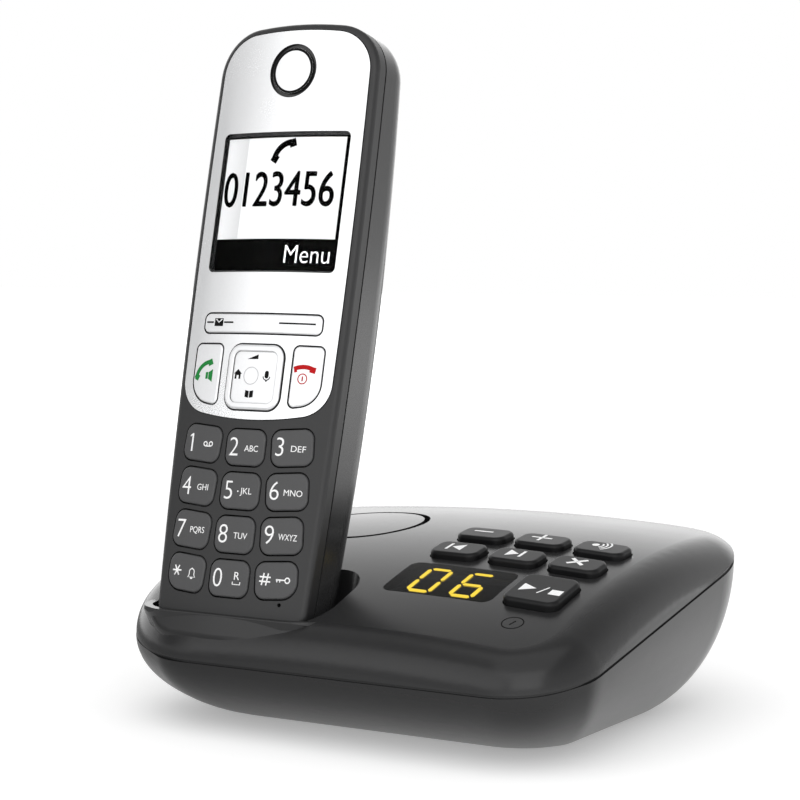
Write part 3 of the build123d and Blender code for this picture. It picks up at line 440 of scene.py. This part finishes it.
def solidTree(node):
    if node not in trees:
        copy = bmesh.new()
        copy.from_mesh(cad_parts[node].data)
        trees[node] = BVHTree.FromBMesh(copy)
        copy.free()
    return trees[node]


def shiftShape(shape, x=0.0, y=0.0, turn=0.0):
    bmesh.ops.rotate(shape, cent=(0, 0, 0), matrix=Matrix.Rotation(math.radians(turn), 3, "Z"), verts=shape.verts)
    bmesh.ops.translate(shape, vec=(x, y, 0), verts=shape.verts)
    return shape


def shapeOfObject(thing):
    mesh = bpy.data.meshes.new_from_object(thing)
    shape = bmesh.new()
    shape.from_mesh(mesh)
    data = thing.data
    bpy.data.objects.remove(thing)
    bpy.data.curves.remove(data)
    bpy.data.meshes.remove(mesh)
    bmesh.ops.remove_doubles(shape, verts=shape.verts, dist=printLook["weld"])
    bmesh.ops.triangulate(shape, faces=shape.faces)
    return shape


def rawText(words, bold=0.0, depth=0.0):
    curve = bpy.data.curves.new("words", "FONT")
    curve.body = words
    curve.size = 1.0
    curve.offset = bold
    curve.extrude = depth
    curve.resolution_u = printLook["textSteps"]
    shape = shapeOfObject(bpy.data.objects.new("words", curve))
    low = Vector([min(v.co[i] for v in shape.verts) for i in range(3)])
    high = Vector([max(v.co[i] for v in shape.verts) for i in range(3)])
    return shape, low, high


# the font's own height of a capital, which every text height is measured by

def measureCap():
    shape, low, high = rawText("H")
    shape.free()
    return high.y - low.y


capHeight = measureCap()


def textShape(words, height, x, y, width=None, squeeze=1.0, bold=0.0):
    shape, low, high = rawText(words, bold, printLook["textDepth"])
    tall = height / capHeight
    wide = tall * squeeze if width is None else width / (high.x - low.x)
    bmesh.ops.translate(shape, vec=-(low + high) / 2, verts=shape.verts)
    bmesh.ops.scale(shape, vec=(wide, tall, printLook["thick"] / (2 * printLook["textDepth"])), verts=shape.verts)
    return shiftShape(shape, x, y)


# a line of one width, from a round curve pressed flat

def lineShape(points, width, closed=False):
    curve = bpy.data.curves.new("line", "CURVE")
    curve.dimensions = "3D"
    curve.bevel_depth = width / 2
    curve.bevel_resolution = 2
    curve.use_fill_caps = True
    run = curve.splines.new("POLY")
    run.points.add(len(points) - 1)
    for point, (x, y) in zip(run.points, points):
        point.co = (x, y, 0, 1)
    run.use_cyclic_u = closed
    shape = shapeOfObject(bpy.data.objects.new("line", curve))
    bmesh.ops.scale(shape, vec=(1, 1, printLook["thick"] / width), verts=shape.verts)
    return shape


def raiseFaces(shape, faces, height):
    raised = bmesh.ops.extrude_face_region(shape, geom=faces)["geom"]
    tops = [part for part in raised if isinstance(part, bmesh.types.BMVert)]
    bmesh.ops.translate(shape, vec=(0, 0, height), verts=tops)
    bmesh.ops.recalc_face_normals(shape, faces=shape.faces)


# a filled outline as a thin plate

def plateShape(points):
    shape = bmesh.new()
    face = shape.faces.new([shape.verts.new((x, y, -printLook["thick"] / 2)) for x, y in points])
    raiseFaces(shape, [face], printLook["thick"])
    bmesh.ops.triangulate(shape, faces=shape.faces)
    return shape


def boxShape(x, y, width, height, turn=0.0):
    right, top = width / 2, height / 2
    shape = plateShape([(-right, -top), (right, -top), (right, top), (-right, top)])
    return shiftShape(shape, x, y, turn=turn)


def arcPoints(x, y, radius, start, end, count=20):
    step = (end - start) / count
    angles = [math.radians(start + i * step) for i in range(count + 1)]
    return [(x + radius * math.cos(a), y + radius * math.sin(a)) for a in angles]


def ringShape(x, y, radius, width):
    return lineShape(arcPoints(x, y, radius, 0, 360, 40)[:-1], width, closed=True)


def discShape(x, y, radius):
    return plateShape(arcPoints(x, y, radius, 0, 360, 28)[:-1])


def joinShapes(shapes):
    whole = bmesh.new()
    for shape in shapes:
        mesh = bpy.data.meshes.new("step")
        shape.to_mesh(mesh)
        whole.from_mesh(mesh)
        shape.free()
        bpy.data.meshes.remove(mesh)
    return whole


def newPiece(name, shape, material, body):
    mesh = bpy.data.meshes.new(name)
    shape.to_mesh(mesh)
    shape.free()
    mesh.materials.append(material)
    piece = bpy.data.objects.new(name, mesh)
    scene.collection.objects.link(piece)
    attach(piece, body)
    return piece


# every vertex drops along the print's own normal onto the solid and keeps its share of the thickness;
# long edges are cut first, so that the print can bend with the surface

def layOn(shape, matrix, node, proud=printLook["proud"]):
    for cut in range(printLook["cuts"]):
        long = [e for e in shape.edges if e.calc_length() > printLook["edge"]]
        if not long:
            break
        bmesh.ops.subdivide_edges(shape, edges=long, cuts=1)
        bmesh.ops.triangulate(shape, faces=shape.faces)
    tree = solidTree(node)
    down = -(matrix.to_3x3() @ Vector((0, 0, 1)))
    reach = printLook["reach"] * mm
    for vert in shape.verts:
        start = matrix @ Vector((vert.co.x * mm, vert.co.y * mm, reach))
        hit = tree.ray_cast(start, down)[0]
        if hit is None:
            hit = start + down * reach
        vert.co = hit - down * (proud + vert.co.z) * mm
    return shape


def printOn(name, shapes, matrix, node, ink, body=None):
    shape = layOn(joinShapes(shapes), matrix, node)
    return newPiece(name, shape, made[ink], body or node + "_body")


# keypad legends: digit at the left, letters at the right, both upright on the face

keypadLook = {
    "digitHeight": 4.6, "digitWidth": 0.95, "digitThin": -0.011, "digitX": -3.25,
    "letterX": 1.95, "letterHeight": 1.5,
    "letterWidths": {
        "ABC": 4.0, "DEF": 4.1, "GHI": 3.5, "JKL": 3.4, "MNO": 5.1, "PQRS": 4.5, "TUV": 4.0, "WXYZ": 5.1},
    "pitchX": 13.4, "pitchY": 10.8, "middleY": 36.0, "arc": 157.0, "starArm": 1.42,
    "loopLine": 0.30, "starLine": 0.38, "hashLine": 0.36, "bellLine": 0.26, "doorKeyLine": 0.34, "flagLine": 0.42,
    "trayLine": 0.28,
}
keypadRows = (
    (("1", ""), ("2", "ABC"), ("3", "DEF")),
    (("4", "GHI"), ("5", "JKL"), ("6", "MNO")),
    (("7", "PQRS"), ("8", "TUV"), ("9", "WXYZ")),
    (("star", ""), ("0", ""), ("hash", "")),
)


def bellShape(x, y, line):
    crown = arcPoints(x, y + 0.35, 0.78, 200, -20, 14)
    outline = [(x - 1.15, y - 0.95), (x - 0.78, y - 0.45)] + crown + [(x + 0.78, y - 0.45), (x + 1.15, y - 0.95)]
    return [lineShape(outline, line, closed=True), plateShape(arcPoints(x, y - 1.05, 0.4, 180, 360, 8)),
            lineShape([(x, y + 1.1), (x, y + 1.4)], line)]


def doorKeyShape(x, y, line):
    teeth = [lineShape([(x + t, y), (x + t, y - 0.62)], line) for t in (-1.55, -0.75)]
    return [ringShape(x + 1.25, y, 0.62, line), lineShape([(x - 1.85, y), (x + 0.62, y)], line)] + teeth


def keypadPrint(name, letters, column, row):
    look = keypadLook
    x = (column - 1) * look["pitchX"]
    y = look["middleY"] + (1 - row) * look["pitchY"] + x * x / (2 * look["arc"])
    left, right = x + look["digitX"], x + look["letterX"]
    if name == "star":
        shapes = []
        for angle in [math.radians(turn) for turn in (0, 60, 120)]:
            across, up = look["starArm"] * math.cos(angle), look["starArm"] * math.sin(angle)
            ends = [(left + 0.35 - across, y + 0.45 - up), (left + 0.35 + across, y + 0.45 + up)]
            shapes.append(lineShape(ends, look["starLine"]))
        return shapes + bellShape(right, y - 0.1, look["bellLine"])
    if name == "hash":
        shapes = [boxShape(left + 0.4 + s, y + 0.1, look["hashLine"], 3.0, -8) for s in (-0.6, 0.6)]
        shapes += [boxShape(left + 0.4, y + 0.1 + s, 3.1, look["hashLine"]) for s in (-0.55, 0.55)]
        return shapes + doorKeyShape(right + 0.1, y + 0.25, look["doorKeyLine"])
    shapes = [textShape(name, look["digitHeight"], left, y + 0.1, squeeze=look["digitWidth"], bold=look["digitThin"])]
    if letters:
        shapes.append(textShape(letters, look["letterHeight"], right, y - 0.2, width=look["letterWidths"][letters]))
    if name == "1":
        shapes.append(lineShape([(left - 0.85, y + 1.65), (left + 0.12, y + 2.28)], look["flagLine"]))
        shapes += [ringShape(right + s, y - 0.15, 0.52, look["loopLine"]) for s in (-0.85, 0.85)]
        shapes.append(lineShape([(right - 0.85, y - 0.72), (right + 0.85, y - 0.72)], look["loopLine"]))
    if name == "5":
        shapes.append(discShape(right - 2.35, y - 0.1, 0.2))
    if name == "0":
        right += 0.5
        tray = [(right + s * 1.1, y - drop) for s, drop in ((-1, 0.65), (-1, 1.3), (1, 1.3), (1, 0.65))]
        shapes += [textShape("R", 1.9, right, y + 0.8, squeeze=1.05), lineShape(tray, look["trayLine"])]
    return shapes


for row, names in enumerate(keypadRows):
    for column, (name, letters) in enumerate(names):
        legend = keypadPrint(name, letters, column, row)
        printOn("legend_" + name, legend, onHandset, "key_" + name, "whiteInk")
print("stage: keypad legends")


# symbols on the call keys, the soft key and the navigation key
# a telephone receiver is a bow between two ear pieces, drawn level and then turned

signs = {
    "talk": {"x": -16.75, "y": 66.7, "span": 5.4, "rise": 0.9, "width": 1.05, "ear": (1.45, 1.5), "turn": 44},
    "end": {"x": 14.0, "y": 67.4, "span": 5.2, "rise": 0.55, "width": 1.1, "ear": (1.6, 1.5), "turn": 1},
    "lcd": {"x": -1.35, "y": 123.3, "span": 6.3, "rise": 1.1, "width": 1.6, "ear": (2.0, 2.05), "turn": 39},
    "speaker": (-14.05, 64.45), "power": (14.0, 64.45), "soft": 78.05, "softLine": 0.42, "flapLine": 0.34,
    "flapProud": 0.045, "house": (-4.95, 65.0), "microphone": (3.75, 64.8), "book": (-0.85, 60.1),
    "ring": (-0.9, 64.7), "ringRadius": 2.15, "ringLine": 0.18,
}


def receiverShapes(x, y, span, rise, width, ear, turn):
    radius = (span ** 2 / 4 + rise ** 2) / (2 * rise)
    swing = math.degrees(math.asin(span / 2 / radius))
    bow = lineShape(arcPoints(0, -radius, radius, 90 - swing, 90 + swing, 20), width)
    wide, tall = ear
    ears = [boxShape(side * span / 2, -rise - tall * 0.12, wide, tall, -side * swing * 0.55) for side in (-1, 1)]
    return [shiftShape(shape, x, y, turn=turn) for shape in [bow] + ears]


def talkShapes():
    x, y = signs["speaker"]
    horn = plateShape([(x - 0.22, y - 0.85), (x + 1.05, y - 1.6), (x + 1.05, y + 1.6), (x - 0.22, y + 0.85)])
    return receiverShapes(**signs["talk"]) + [boxShape(x - 0.75, y, 0.75, 1.7), horn]


def endShapes():
    x, y = signs["power"]
    power = [ringShape(x, y, 1.22, 0.28), lineShape([(x, y - 0.6), (x, y + 0.6)], 0.36)]
    return receiverShapes(**signs["end"]) + power


def softShapes():
    y = signs["soft"]
    spans = ((-16.9, -14.75), (-11.35, -8.4), (5.5, 15.9))
    lines = [lineShape([(left, y), (right, y)], signs["softLine"]) for left, right in spans]
    flap = lineShape([(-13.95, y + 0.8), (-13.0, y - 0.05), (-12.05, y + 0.8)], signs["flapLine"])
    return [boxShape(-13.0, y, 2.7, 2.0)] + lines, [flap]


def navigationShapes():
    wedge = plateShape([(-2.45, 68.85), (0.65, 68.9), (0.65, 70.05)])
    x, y = signs["house"]
    roof = plateShape([(x - 1.2, y + 0.1), (x + 1.2, y + 0.1), (x, y + 1.25)])
    walls = [boxShape(x - 0.6, y - 0.5, 0.5, 1.4), boxShape(x + 0.6, y - 0.5, 0.5, 1.4), boxShape(x, y, 1.5, 0.5)]
    x, y = signs["microphone"]
    capsule = plateShape(arcPoints(x, y + 0.7, 0.56, 0, 180, 10) + arcPoints(x, y - 0.1, 0.56, 180, 360, 10))
    stand = [lineShape(arcPoints(x, y - 0.1, 1.0, 185, 355, 14), 0.26), lineShape([(x, y - 1.1), (x, y - 1.5)], 0.34)]
    x, y = signs["book"]
    corners = ((0.12, -0.95), (1.2, -0.75), (1.2, 0.95), (0.12, 0.75))
    pages = [plateShape([(x + side * right, y + up) for right, up in corners]) for side in (-1, 1)]
    ring = ringShape(*signs["ring"], signs["ringRadius"], signs["ringLine"])
    return [wedge, roof] + walls + [capsule] + stand + pages, [ring]


printOn("talk_receiver", talkShapes(), onHandset, "talk_key", "greenInk")
printOn("end_receiver", endShapes(), onHandset, "end_key", "redInk")
softDark, softFlap = softShapes()
printOn("softkey_marks", softDark, onHandset, "softkey_rocker", "blackInk", "softkey_body")
flapShape = layOn(joinShapes(softFlap), onHandset, "softkey_rocker", signs["flapProud"])
newPiece("softkey_envelope_flap", flapShape, made["silverKeys"], "softkey_body")
navigationDark, navigationRing = navigationShapes()
printOn("navigation_marks", navigationDark, onHandset, "navigation_key", "blackInk", "navigation_body")
printOn("navigation_ring", navigationRing, onHandset, "navigation_key", "greyInk", "navigation_body")
earLook = {"y": 142.6, "radius": 5.56, "line": 0.66}
earMark = [ringShape(0, earLook["y"], earLook["radius"], earLook["line"])]
printOn("earpiece_mark", earMark, onHandset, "earpiece_cap", "blackInk", "handset")
print("stage: panel symbols")


# symbols on the base keys, each about its key's middle

baseMarks = {
    "key_minus": (14.2, 1.1), "key_plus": (30.73, 1.1), "key_paging": (47.26, 1.1),
    "key_previous": (14.2, -12.44), "key_next": (30.73, -12.44), "key_delete": (47.26, -12.44),
    "key_play_stop": (46.4, -29.35),
}
baseMarkLook = {"bar": 0.75, "wave": 0.5, "cross": 0.95, "slash": 0.42}


def baseMarkShapes(name):
    bar = baseMarkLook["bar"]
    if name == "key_minus":
        return [boxShape(-0.8, 0.7, 5.4, bar)]
    if name == "key_plus":
        return [boxShape(-0.7, 0.8, 5.6, bar), boxShape(-0.7, 0.8, bar, 5.2)]
    if name == "key_paging":
        arcs = [arcPoints(-2.1, 1.0, radius, -52, 52, 14) for radius in (1.75, 2.8, 3.85)]
        return [discShape(-2.3, 1.0, 0.95)] + [lineShape(arc, baseMarkLook["wave"]) for arc in arcs]
    if name == "key_previous":
        return [boxShape(-2.75, 0.25, bar, 4.2), plateShape([(-1.9, 0.2), (1.25, -1.9), (1.25, 2.35)])]
    if name == "key_next":
        return [boxShape(1.15, 0.5, bar, 4.1), plateShape([(-2.85, -1.55), (0.2, 0.4), (-2.85, 2.55)])]
    if name == "key_delete":
        return [boxShape(-0.35, 0.7, 5.5, baseMarkLook["cross"], turn) for turn in (41, -41)]
    return [plateShape([(-4.85, -2.7), (-1.0, -0.6), (-4.85, 1.2)]),
            lineShape([(0.2, -2.9), (1.85, 0.9)], baseMarkLook["slash"]), boxShape(4.55, -1.3, 3.1, 2.6)]


for name, (x, y) in baseMarks.items():
    printOn("mark_" + name, baseMarkShapes(name), domeMatrix(x, y), name, "whiteInk")

onOffLook = {"x": 46.17, "y": -43.41, "radius": 2.6, "line": 0.32, "stroke": 0.36}
onOff = [ringShape(0, 0, onOffLook["radius"], onOffLook["line"]),
         lineShape([(-0.35, -1.0), (0.35, 1.0)], onOffLook["stroke"])]
onDome = domeMatrix(onOffLook["x"], onOffLook["y"])
printOn("on_off_mark", onOff, onDome, "base_upper_shell", "blackInk", "base")

# contact strips at the far end of the two sockets, which face backwards

socketLook = {
    "line_socket": -12.0, "power_socket": -28.0, "face": 44.0, "height": 16.6, "strips": 4, "pitch": 1.02,
    "width": 0.42, "tall": 4.2, "rise": 0.4,
}
backward = Matrix(((-1, 0, 0), (0, 0, 1), (0, 1, 0))).to_4x4()


def socketStrips():
    look = socketLook
    first = -(look["strips"] - 1) / 2 * look["pitch"]
    places = [first + i * look["pitch"] for i in range(look["strips"])]
    return [boxShape(x, look["rise"], look["width"], look["tall"]) for x in places]


for name in ("line_socket", "power_socket"):
    mouth = Vector((socketLook[name], socketLook["face"], socketLook["height"])) * mm
    strips = layOn(joinShapes(socketStrips()), Matrix.Translation(mouth) @ backward, name)
    newPiece(name + "_contacts", strips, made["nickel"], "base")
print("stage: base symbols")


# two seven-segment digits: light pipes standing on their module under the smoked window;
# lit names the segments that glow in each digit, from a at the top clockwise to f, with g in the middle

ledLook = {
    "x": 20.2, "y": -27.3, "sink": 1.28, "width": 6.0, "height": 12.9, "gap": 11.8, "bar": 1.0, "tall": 0.4,
    "split": 0.85, "slant": -0.03, "colour": (1.0, 0.71, 0.05), "glow": 2.7, "lit": ("abcdef", "acdefg"),
}


def segmentShape(kind):
    width, height, half = ledLook["width"], ledLook["height"], ledLook["bar"] / 2
    end = ((width if kind in "adg" else height / 2) - ledLook["split"]) / 2
    shape = bmesh.new()
    flat = end - half
    points = [(-end, 0), (-flat, half), (flat, half), (end, 0), (flat, -half), (-flat, -half)]
    face = shape.faces.new([shape.verts.new((x, y, 0)) for x, y in points])
    raiseFaces(shape, [face], ledLook["tall"])
    bmesh.ops.translate(shape, vec=(0, 0, -ledLook["tall"] - ledLook["sink"]), verts=shape.verts)
    right, up = width / 2, height / 4
    places = {"a": (0, 2 * up, 0), "g": (0, 0, 0), "d": (0, -2 * up, 0), "b": (right, up, 90), "c": (right, -up, 90),
              "e": (-right, -up, 90), "f": (-right, up, 90)}
    x, y, turn = places[kind]
    return shiftShape(shape, x, y, turn=turn)


def makeLedDigits():
    lit = newFinish("ledSegment", {
        "colour": ledLook["colour"], "roughness": 0.35, "glow": ledLook["glow"], "drift": 0.05, "speck": 0.05})
    place = domeMatrix(ledLook["x"], ledLook["y"])
    for i, kinds in enumerate(ledLook["lit"]):
        shape = joinShapes([segmentShape(kind) for kind in kinds])
        for vert in shape.verts:
            vert.co.x += vert.co.y * ledLook["slant"] + (i - 0.5) * ledLook["gap"]
        bmesh.ops.scale(shape, vec=(mm, mm, mm), verts=shape.verts)
        bmesh.ops.transform(shape, matrix=place, verts=shape.verts)
        newPiece("led_digit_" + str(i + 1), shape, lit, "base")


makeLedDigits()
print("stage: message counter")


# the picture of the display: a pale sheet, a black bar, digits, a receiver and a word

# painted light: the pale sheet and the word glow, in place of the light that the lens keeps off them
lcdLook = {
    "left": -18.37, "right": 18.37, "bottom": 91.6, "barTop": 99.7, "top": 125.7, "sheetRight": 17.25,
    "level": -1.32, "inkLevel": -1.24, "thick": 0.06, "sheetLift": 0.04, "backDrop": 0.03, "backMore": 0.2,
    "glow": 0.10, "wordGlow": 0.8, "paper": (0.80, 0.805, 0.805), "steps": 36, "bandEnd": -11.8, "bandDepth": 0.24,
    "number": {"words": "0123456", "height": 8.75, "width": 33.3}, "numberPlace": (-1.25, 112.45),
    "numberShift": (0.13, -0.07),
    "word": {"words": "Menu", "height": 4.6, "x": 9.9, "y": 95.8, "width": 12.9, "bold": -0.012},
}


def crownDrop(x):
    return handsetSpot["crown"] - math.sqrt(handsetSpot["crown"] ** 2 - x * x)


def layUnderLens(shape, level):
    for vert in shape.verts:
        x, y, z = vert.co
        vert.co = onHandset @ (Vector((x, y, level + z - crownDrop(x))) * mm)
    return shape


def sheetShape(left, right, low, high):
    shape = bmesh.new()
    bmesh.ops.create_grid(shape, x_segments=lcdLook["steps"], y_segments=4, size=0.5)
    bmesh.ops.scale(shape, vec=(right - left, high - low, 1), verts=shape.verts)
    bmesh.ops.translate(shape, vec=((left + right) / 2, (low + high) / 2, 0), verts=shape.verts)
    raiseFaces(shape, shape.faces[:], -lcdLook["thick"])
    return shape


# painted shade: a band at the left of the sheet that grows darker up to its edge, in its colour and in its glow

def paintedShadeBand(material):
    tree = material.node_tree
    shader = tree.nodes["Principled BSDF"]
    tone = shader.inputs["Base Color"].links[0].from_socket
    across = axisNode(tree, placeNode(tree), "X")
    start = (handsetSpot["origin"][0] + lcdLook["left"]) * mm
    end = (handsetSpot["origin"][0] + lcdLook["bandEnd"]) * mm
    ramp = rangeNode(tree, across, start, end, 0.0, lcdLook["bandDepth"], smooth=False)
    inside = mathNode(tree, "LESS_THAN", across, end)
    shaded = scaleNode(tree, tone, mathNode(tree, "SUBTRACT", 1.0, mathNode(tree, "MULTIPLY", ramp, inside)))
    tree.links.new(shaded, shader.inputs["Base Color"])
    tree.links.new(shaded, shader.inputs["Emission Color"])


def makeDisplay():
    look = lcdLook
    paper = newFinish("lcdPaper", {
        "colour": look["paper"], "roughness": 0.6, "drift": 0.03, "driftScale": 60.0, "glow": look["glow"]})
    paintedShadeBand(paper)
    black = newFinish("lcdBlack", {"colour": (0.001, 0.001, 0.001), "roughness": 0.9, "specular": 0.0})
    lit = newFinish("lcdWord", {"colour": (0.9, 0.9, 0.9), "roughness": 0.5, "glow": look["wordGlow"]})
    sheet = sheetShape(look["left"], look["sheetRight"], look["barTop"], look["top"])
    newPiece("lcd_sheet", layUnderLens(sheet, look["level"] + look["sheetLift"]), paper, "handset")
    back = sheetShape(look["left"], look["right"], look["bottom"], look["top"] + look["backMore"])
    newPiece("lcd_back", layUnderLens(back, look["level"] - look["backDrop"]), black, "handset")
    (x, y), (right, up) = look["numberPlace"], look["numberShift"]
    number = [textShape(x=x + s * right, y=y + s * up, **look["number"]) for s in (-1, 0, 1)]
    dark = joinShapes(number + receiverShapes(**signs["lcd"]))
    newPiece("lcd_number", layUnderLens(dark, look["inkLevel"]), black, "handset")
    word = joinShapes([textShape(**look["word"])])
    newPiece("lcd_word", layUnderLens(word, look["inkLevel"]), lit, "handset")


makeDisplay()
print("stage: display")


# floor, surroundings and lamps; to the camera the floor fades into plain white, and in reflections it is
# darker at the left than at the right

studio = {
    "floorSize": 4.0, "floorTone": 0.80, "floorGlow": 0.34, "farGlow": 1.0, "farFrom": 0.35, "farTo": 1.2,
    "leftShare": 0.2, "rightShare": 1.7, "shareSpan": 0.3, "skyDiffuse": 0.72, "skyLow": 1.0, "skyHigh": 0.18,
    "lowTo": 0.15, "highFrom": 1.0, "cardTone": 0.12, "cardDirection": (-0.86, -0.42, 0.30), "cardFrom": 0.955,
    "cardFull": 0.994, "wallGain": 0.95, "wallDirection": (-0.62, 0.64, 0.45), "wallFrom": 0.45, "wallFull": 0.92,
}


def makeFloor():
    shape = bmesh.new()
    bmesh.ops.create_grid(shape, x_segments=1, y_segments=1, size=studio["floorSize"])
    mesh = bpy.data.meshes.new("floor")
    shape.to_mesh(mesh)
    shape.free()
    floor = bpy.data.objects.new("floor", mesh)
    scene.collection.objects.link(floor)
    material = bpy.data.materials.new("floorPaper")
    material.use_nodes = True
    tree = material.node_tree
    shader = tree.nodes["Principled BSDF"]
    setInputs(shader, {"Roughness": 1.0, "Specular IOR Level": 0.0, "Emission Color": (1.0, 1.0, 1.0, 1.0)})
    path = addNode(tree, "ShaderNodeLightPath").outputs
    place = placeNode(tree)
    # painted shade and painted light seen only in reflections: darker at the left, brighter at the right
    side = rangeNode(tree, axisNode(tree, place, "X"), -studio["shareSpan"], studio["shareSpan"],
                     studio["leftShare"], studio["rightShare"])
    mirrored = mathNode(tree, "MULTIPLY", path["Is Glossy Ray"], side)
    change = mathNode(tree, "MULTIPLY", path["Is Glossy Ray"], mathNode(tree, "SUBTRACT", side, 1.0))
    shade = mathNode(tree, "MULTIPLY", mathNode(tree, "ADD", change, 1.0), studio["floorTone"])
    tree.links.new(mathNode(tree, "MINIMUM", shade, 1.0), shader.inputs["Base Color"])
    seen = mathNode(tree, "MAXIMUM", path["Is Camera Ray"], path["Is Transmission Ray"])
    seen = mathNode(tree, "MAXIMUM", seen, mirrored)
    away = addNode(tree, "ShaderNodeVectorMath", operation="LENGTH")
    tree.links.new(place, away.inputs[0])
    far = rangeNode(tree, away.outputs["Value"], studio["farFrom"], studio["farTo"],
                    studio["floorGlow"], studio["farGlow"])
    tree.links.new(mathNode(tree, "MULTIPLY", seen, far), shader.inputs["Emission Strength"])
    mesh.materials.append(material)


# the surroundings are plain white to the camera; reflections see a dark card at the left front, a bright wall
# behind and a sky that darkens upwards

def makeSky():
    world = bpy.data.worlds.new("surroundings")
    scene.world = world
    world.use_nodes = True
    tree = world.node_tree
    plain = tree.nodes["Background"]
    plain.inputs["Color"].default_value = (1, 1, 1, 1)
    path = addNode(tree, "ShaderNodeLightPath").outputs
    place = placeNode(tree, "Generated")
    toward = dotNode(tree, place, Vector(studio["cardDirection"]).normalized())
    card = rangeNode(tree, toward, studio["cardFrom"], studio["cardFull"], 1.0, studio["cardTone"])
    behind = dotNode(tree, place, Vector(studio["wallDirection"]).normalized())
    wall = rangeNode(tree, behind, studio["wallFrom"], studio["wallFull"], 1.0, 1.0 + studio["wallGain"])
    rise = rangeNode(tree, axisNode(tree, place, "Z"), studio["lowTo"], studio["highFrom"],
                     studio["skyLow"], studio["skyHigh"])
    white = mathNode(tree, "MAXIMUM", path["Is Camera Ray"], path["Is Transmission Ray"])
    around = mathNode(tree, "MULTIPLY", mathNode(tree, "MULTIPLY", card, rise), wall)
    glossy = mathNode(tree, "MULTIPLY", around, path["Is Glossy Ray"])
    other = mathNode(tree, "SUBTRACT", 1.0, mathNode(tree, "MAXIMUM", white, path["Is Glossy Ray"]))
    soft = mathNode(tree, "MULTIPLY", other, studio["skyDiffuse"])
    level = mathNode(tree, "ADD", mathNode(tree, "MAXIMUM", white, glossy), soft)
    tree.links.new(level, plain.inputs["Strength"])
    tree.links.new(plain.outputs[0], tree.nodes["World Output"].inputs["Surface"])


# the front lamp only shows in reflections, so it casts no shadow of its own on the floor

lamps = {
    "top_softbox": {"place": (0.22, -0.6, 1.85), "aim": (0, 0, 0.05), "size": 2.0, "power": 9.5, "shines": True},
    "front_softbox": {"place": (-0.62, -1.7, 0.95), "aim": (-0.02, 0, 0.09), "size": 1.5, "power": 6.0,
                      "shines": False},
    "side_softbox": {"place": (0.75, -1.4, 0.85), "aim": (0, 0, 0.06), "size": 1.2, "power": 6.4, "shines": True},
}


def makeLamp(name, place, aim, size, power, shines):
    data = bpy.data.lights.new(name, "AREA")
    data.shape = "RECTANGLE"
    data.size = data.size_y = size
    data.energy = power
    lamp = bpy.data.objects.new(name, data)
    lamp.visible_diffuse = shines
    lamp.location = place
    direction = Vector(aim) - Vector(place)
    lamp.rotation_euler = direction.to_track_quat("-Z", "Y").to_euler()
    scene.collection.objects.link(lamp)


makeFloor()
makeSky()
for name, look in lamps.items():
    makeLamp(name, **look)
scene.view_settings.view_transform = "Standard"
print("stage: studio")
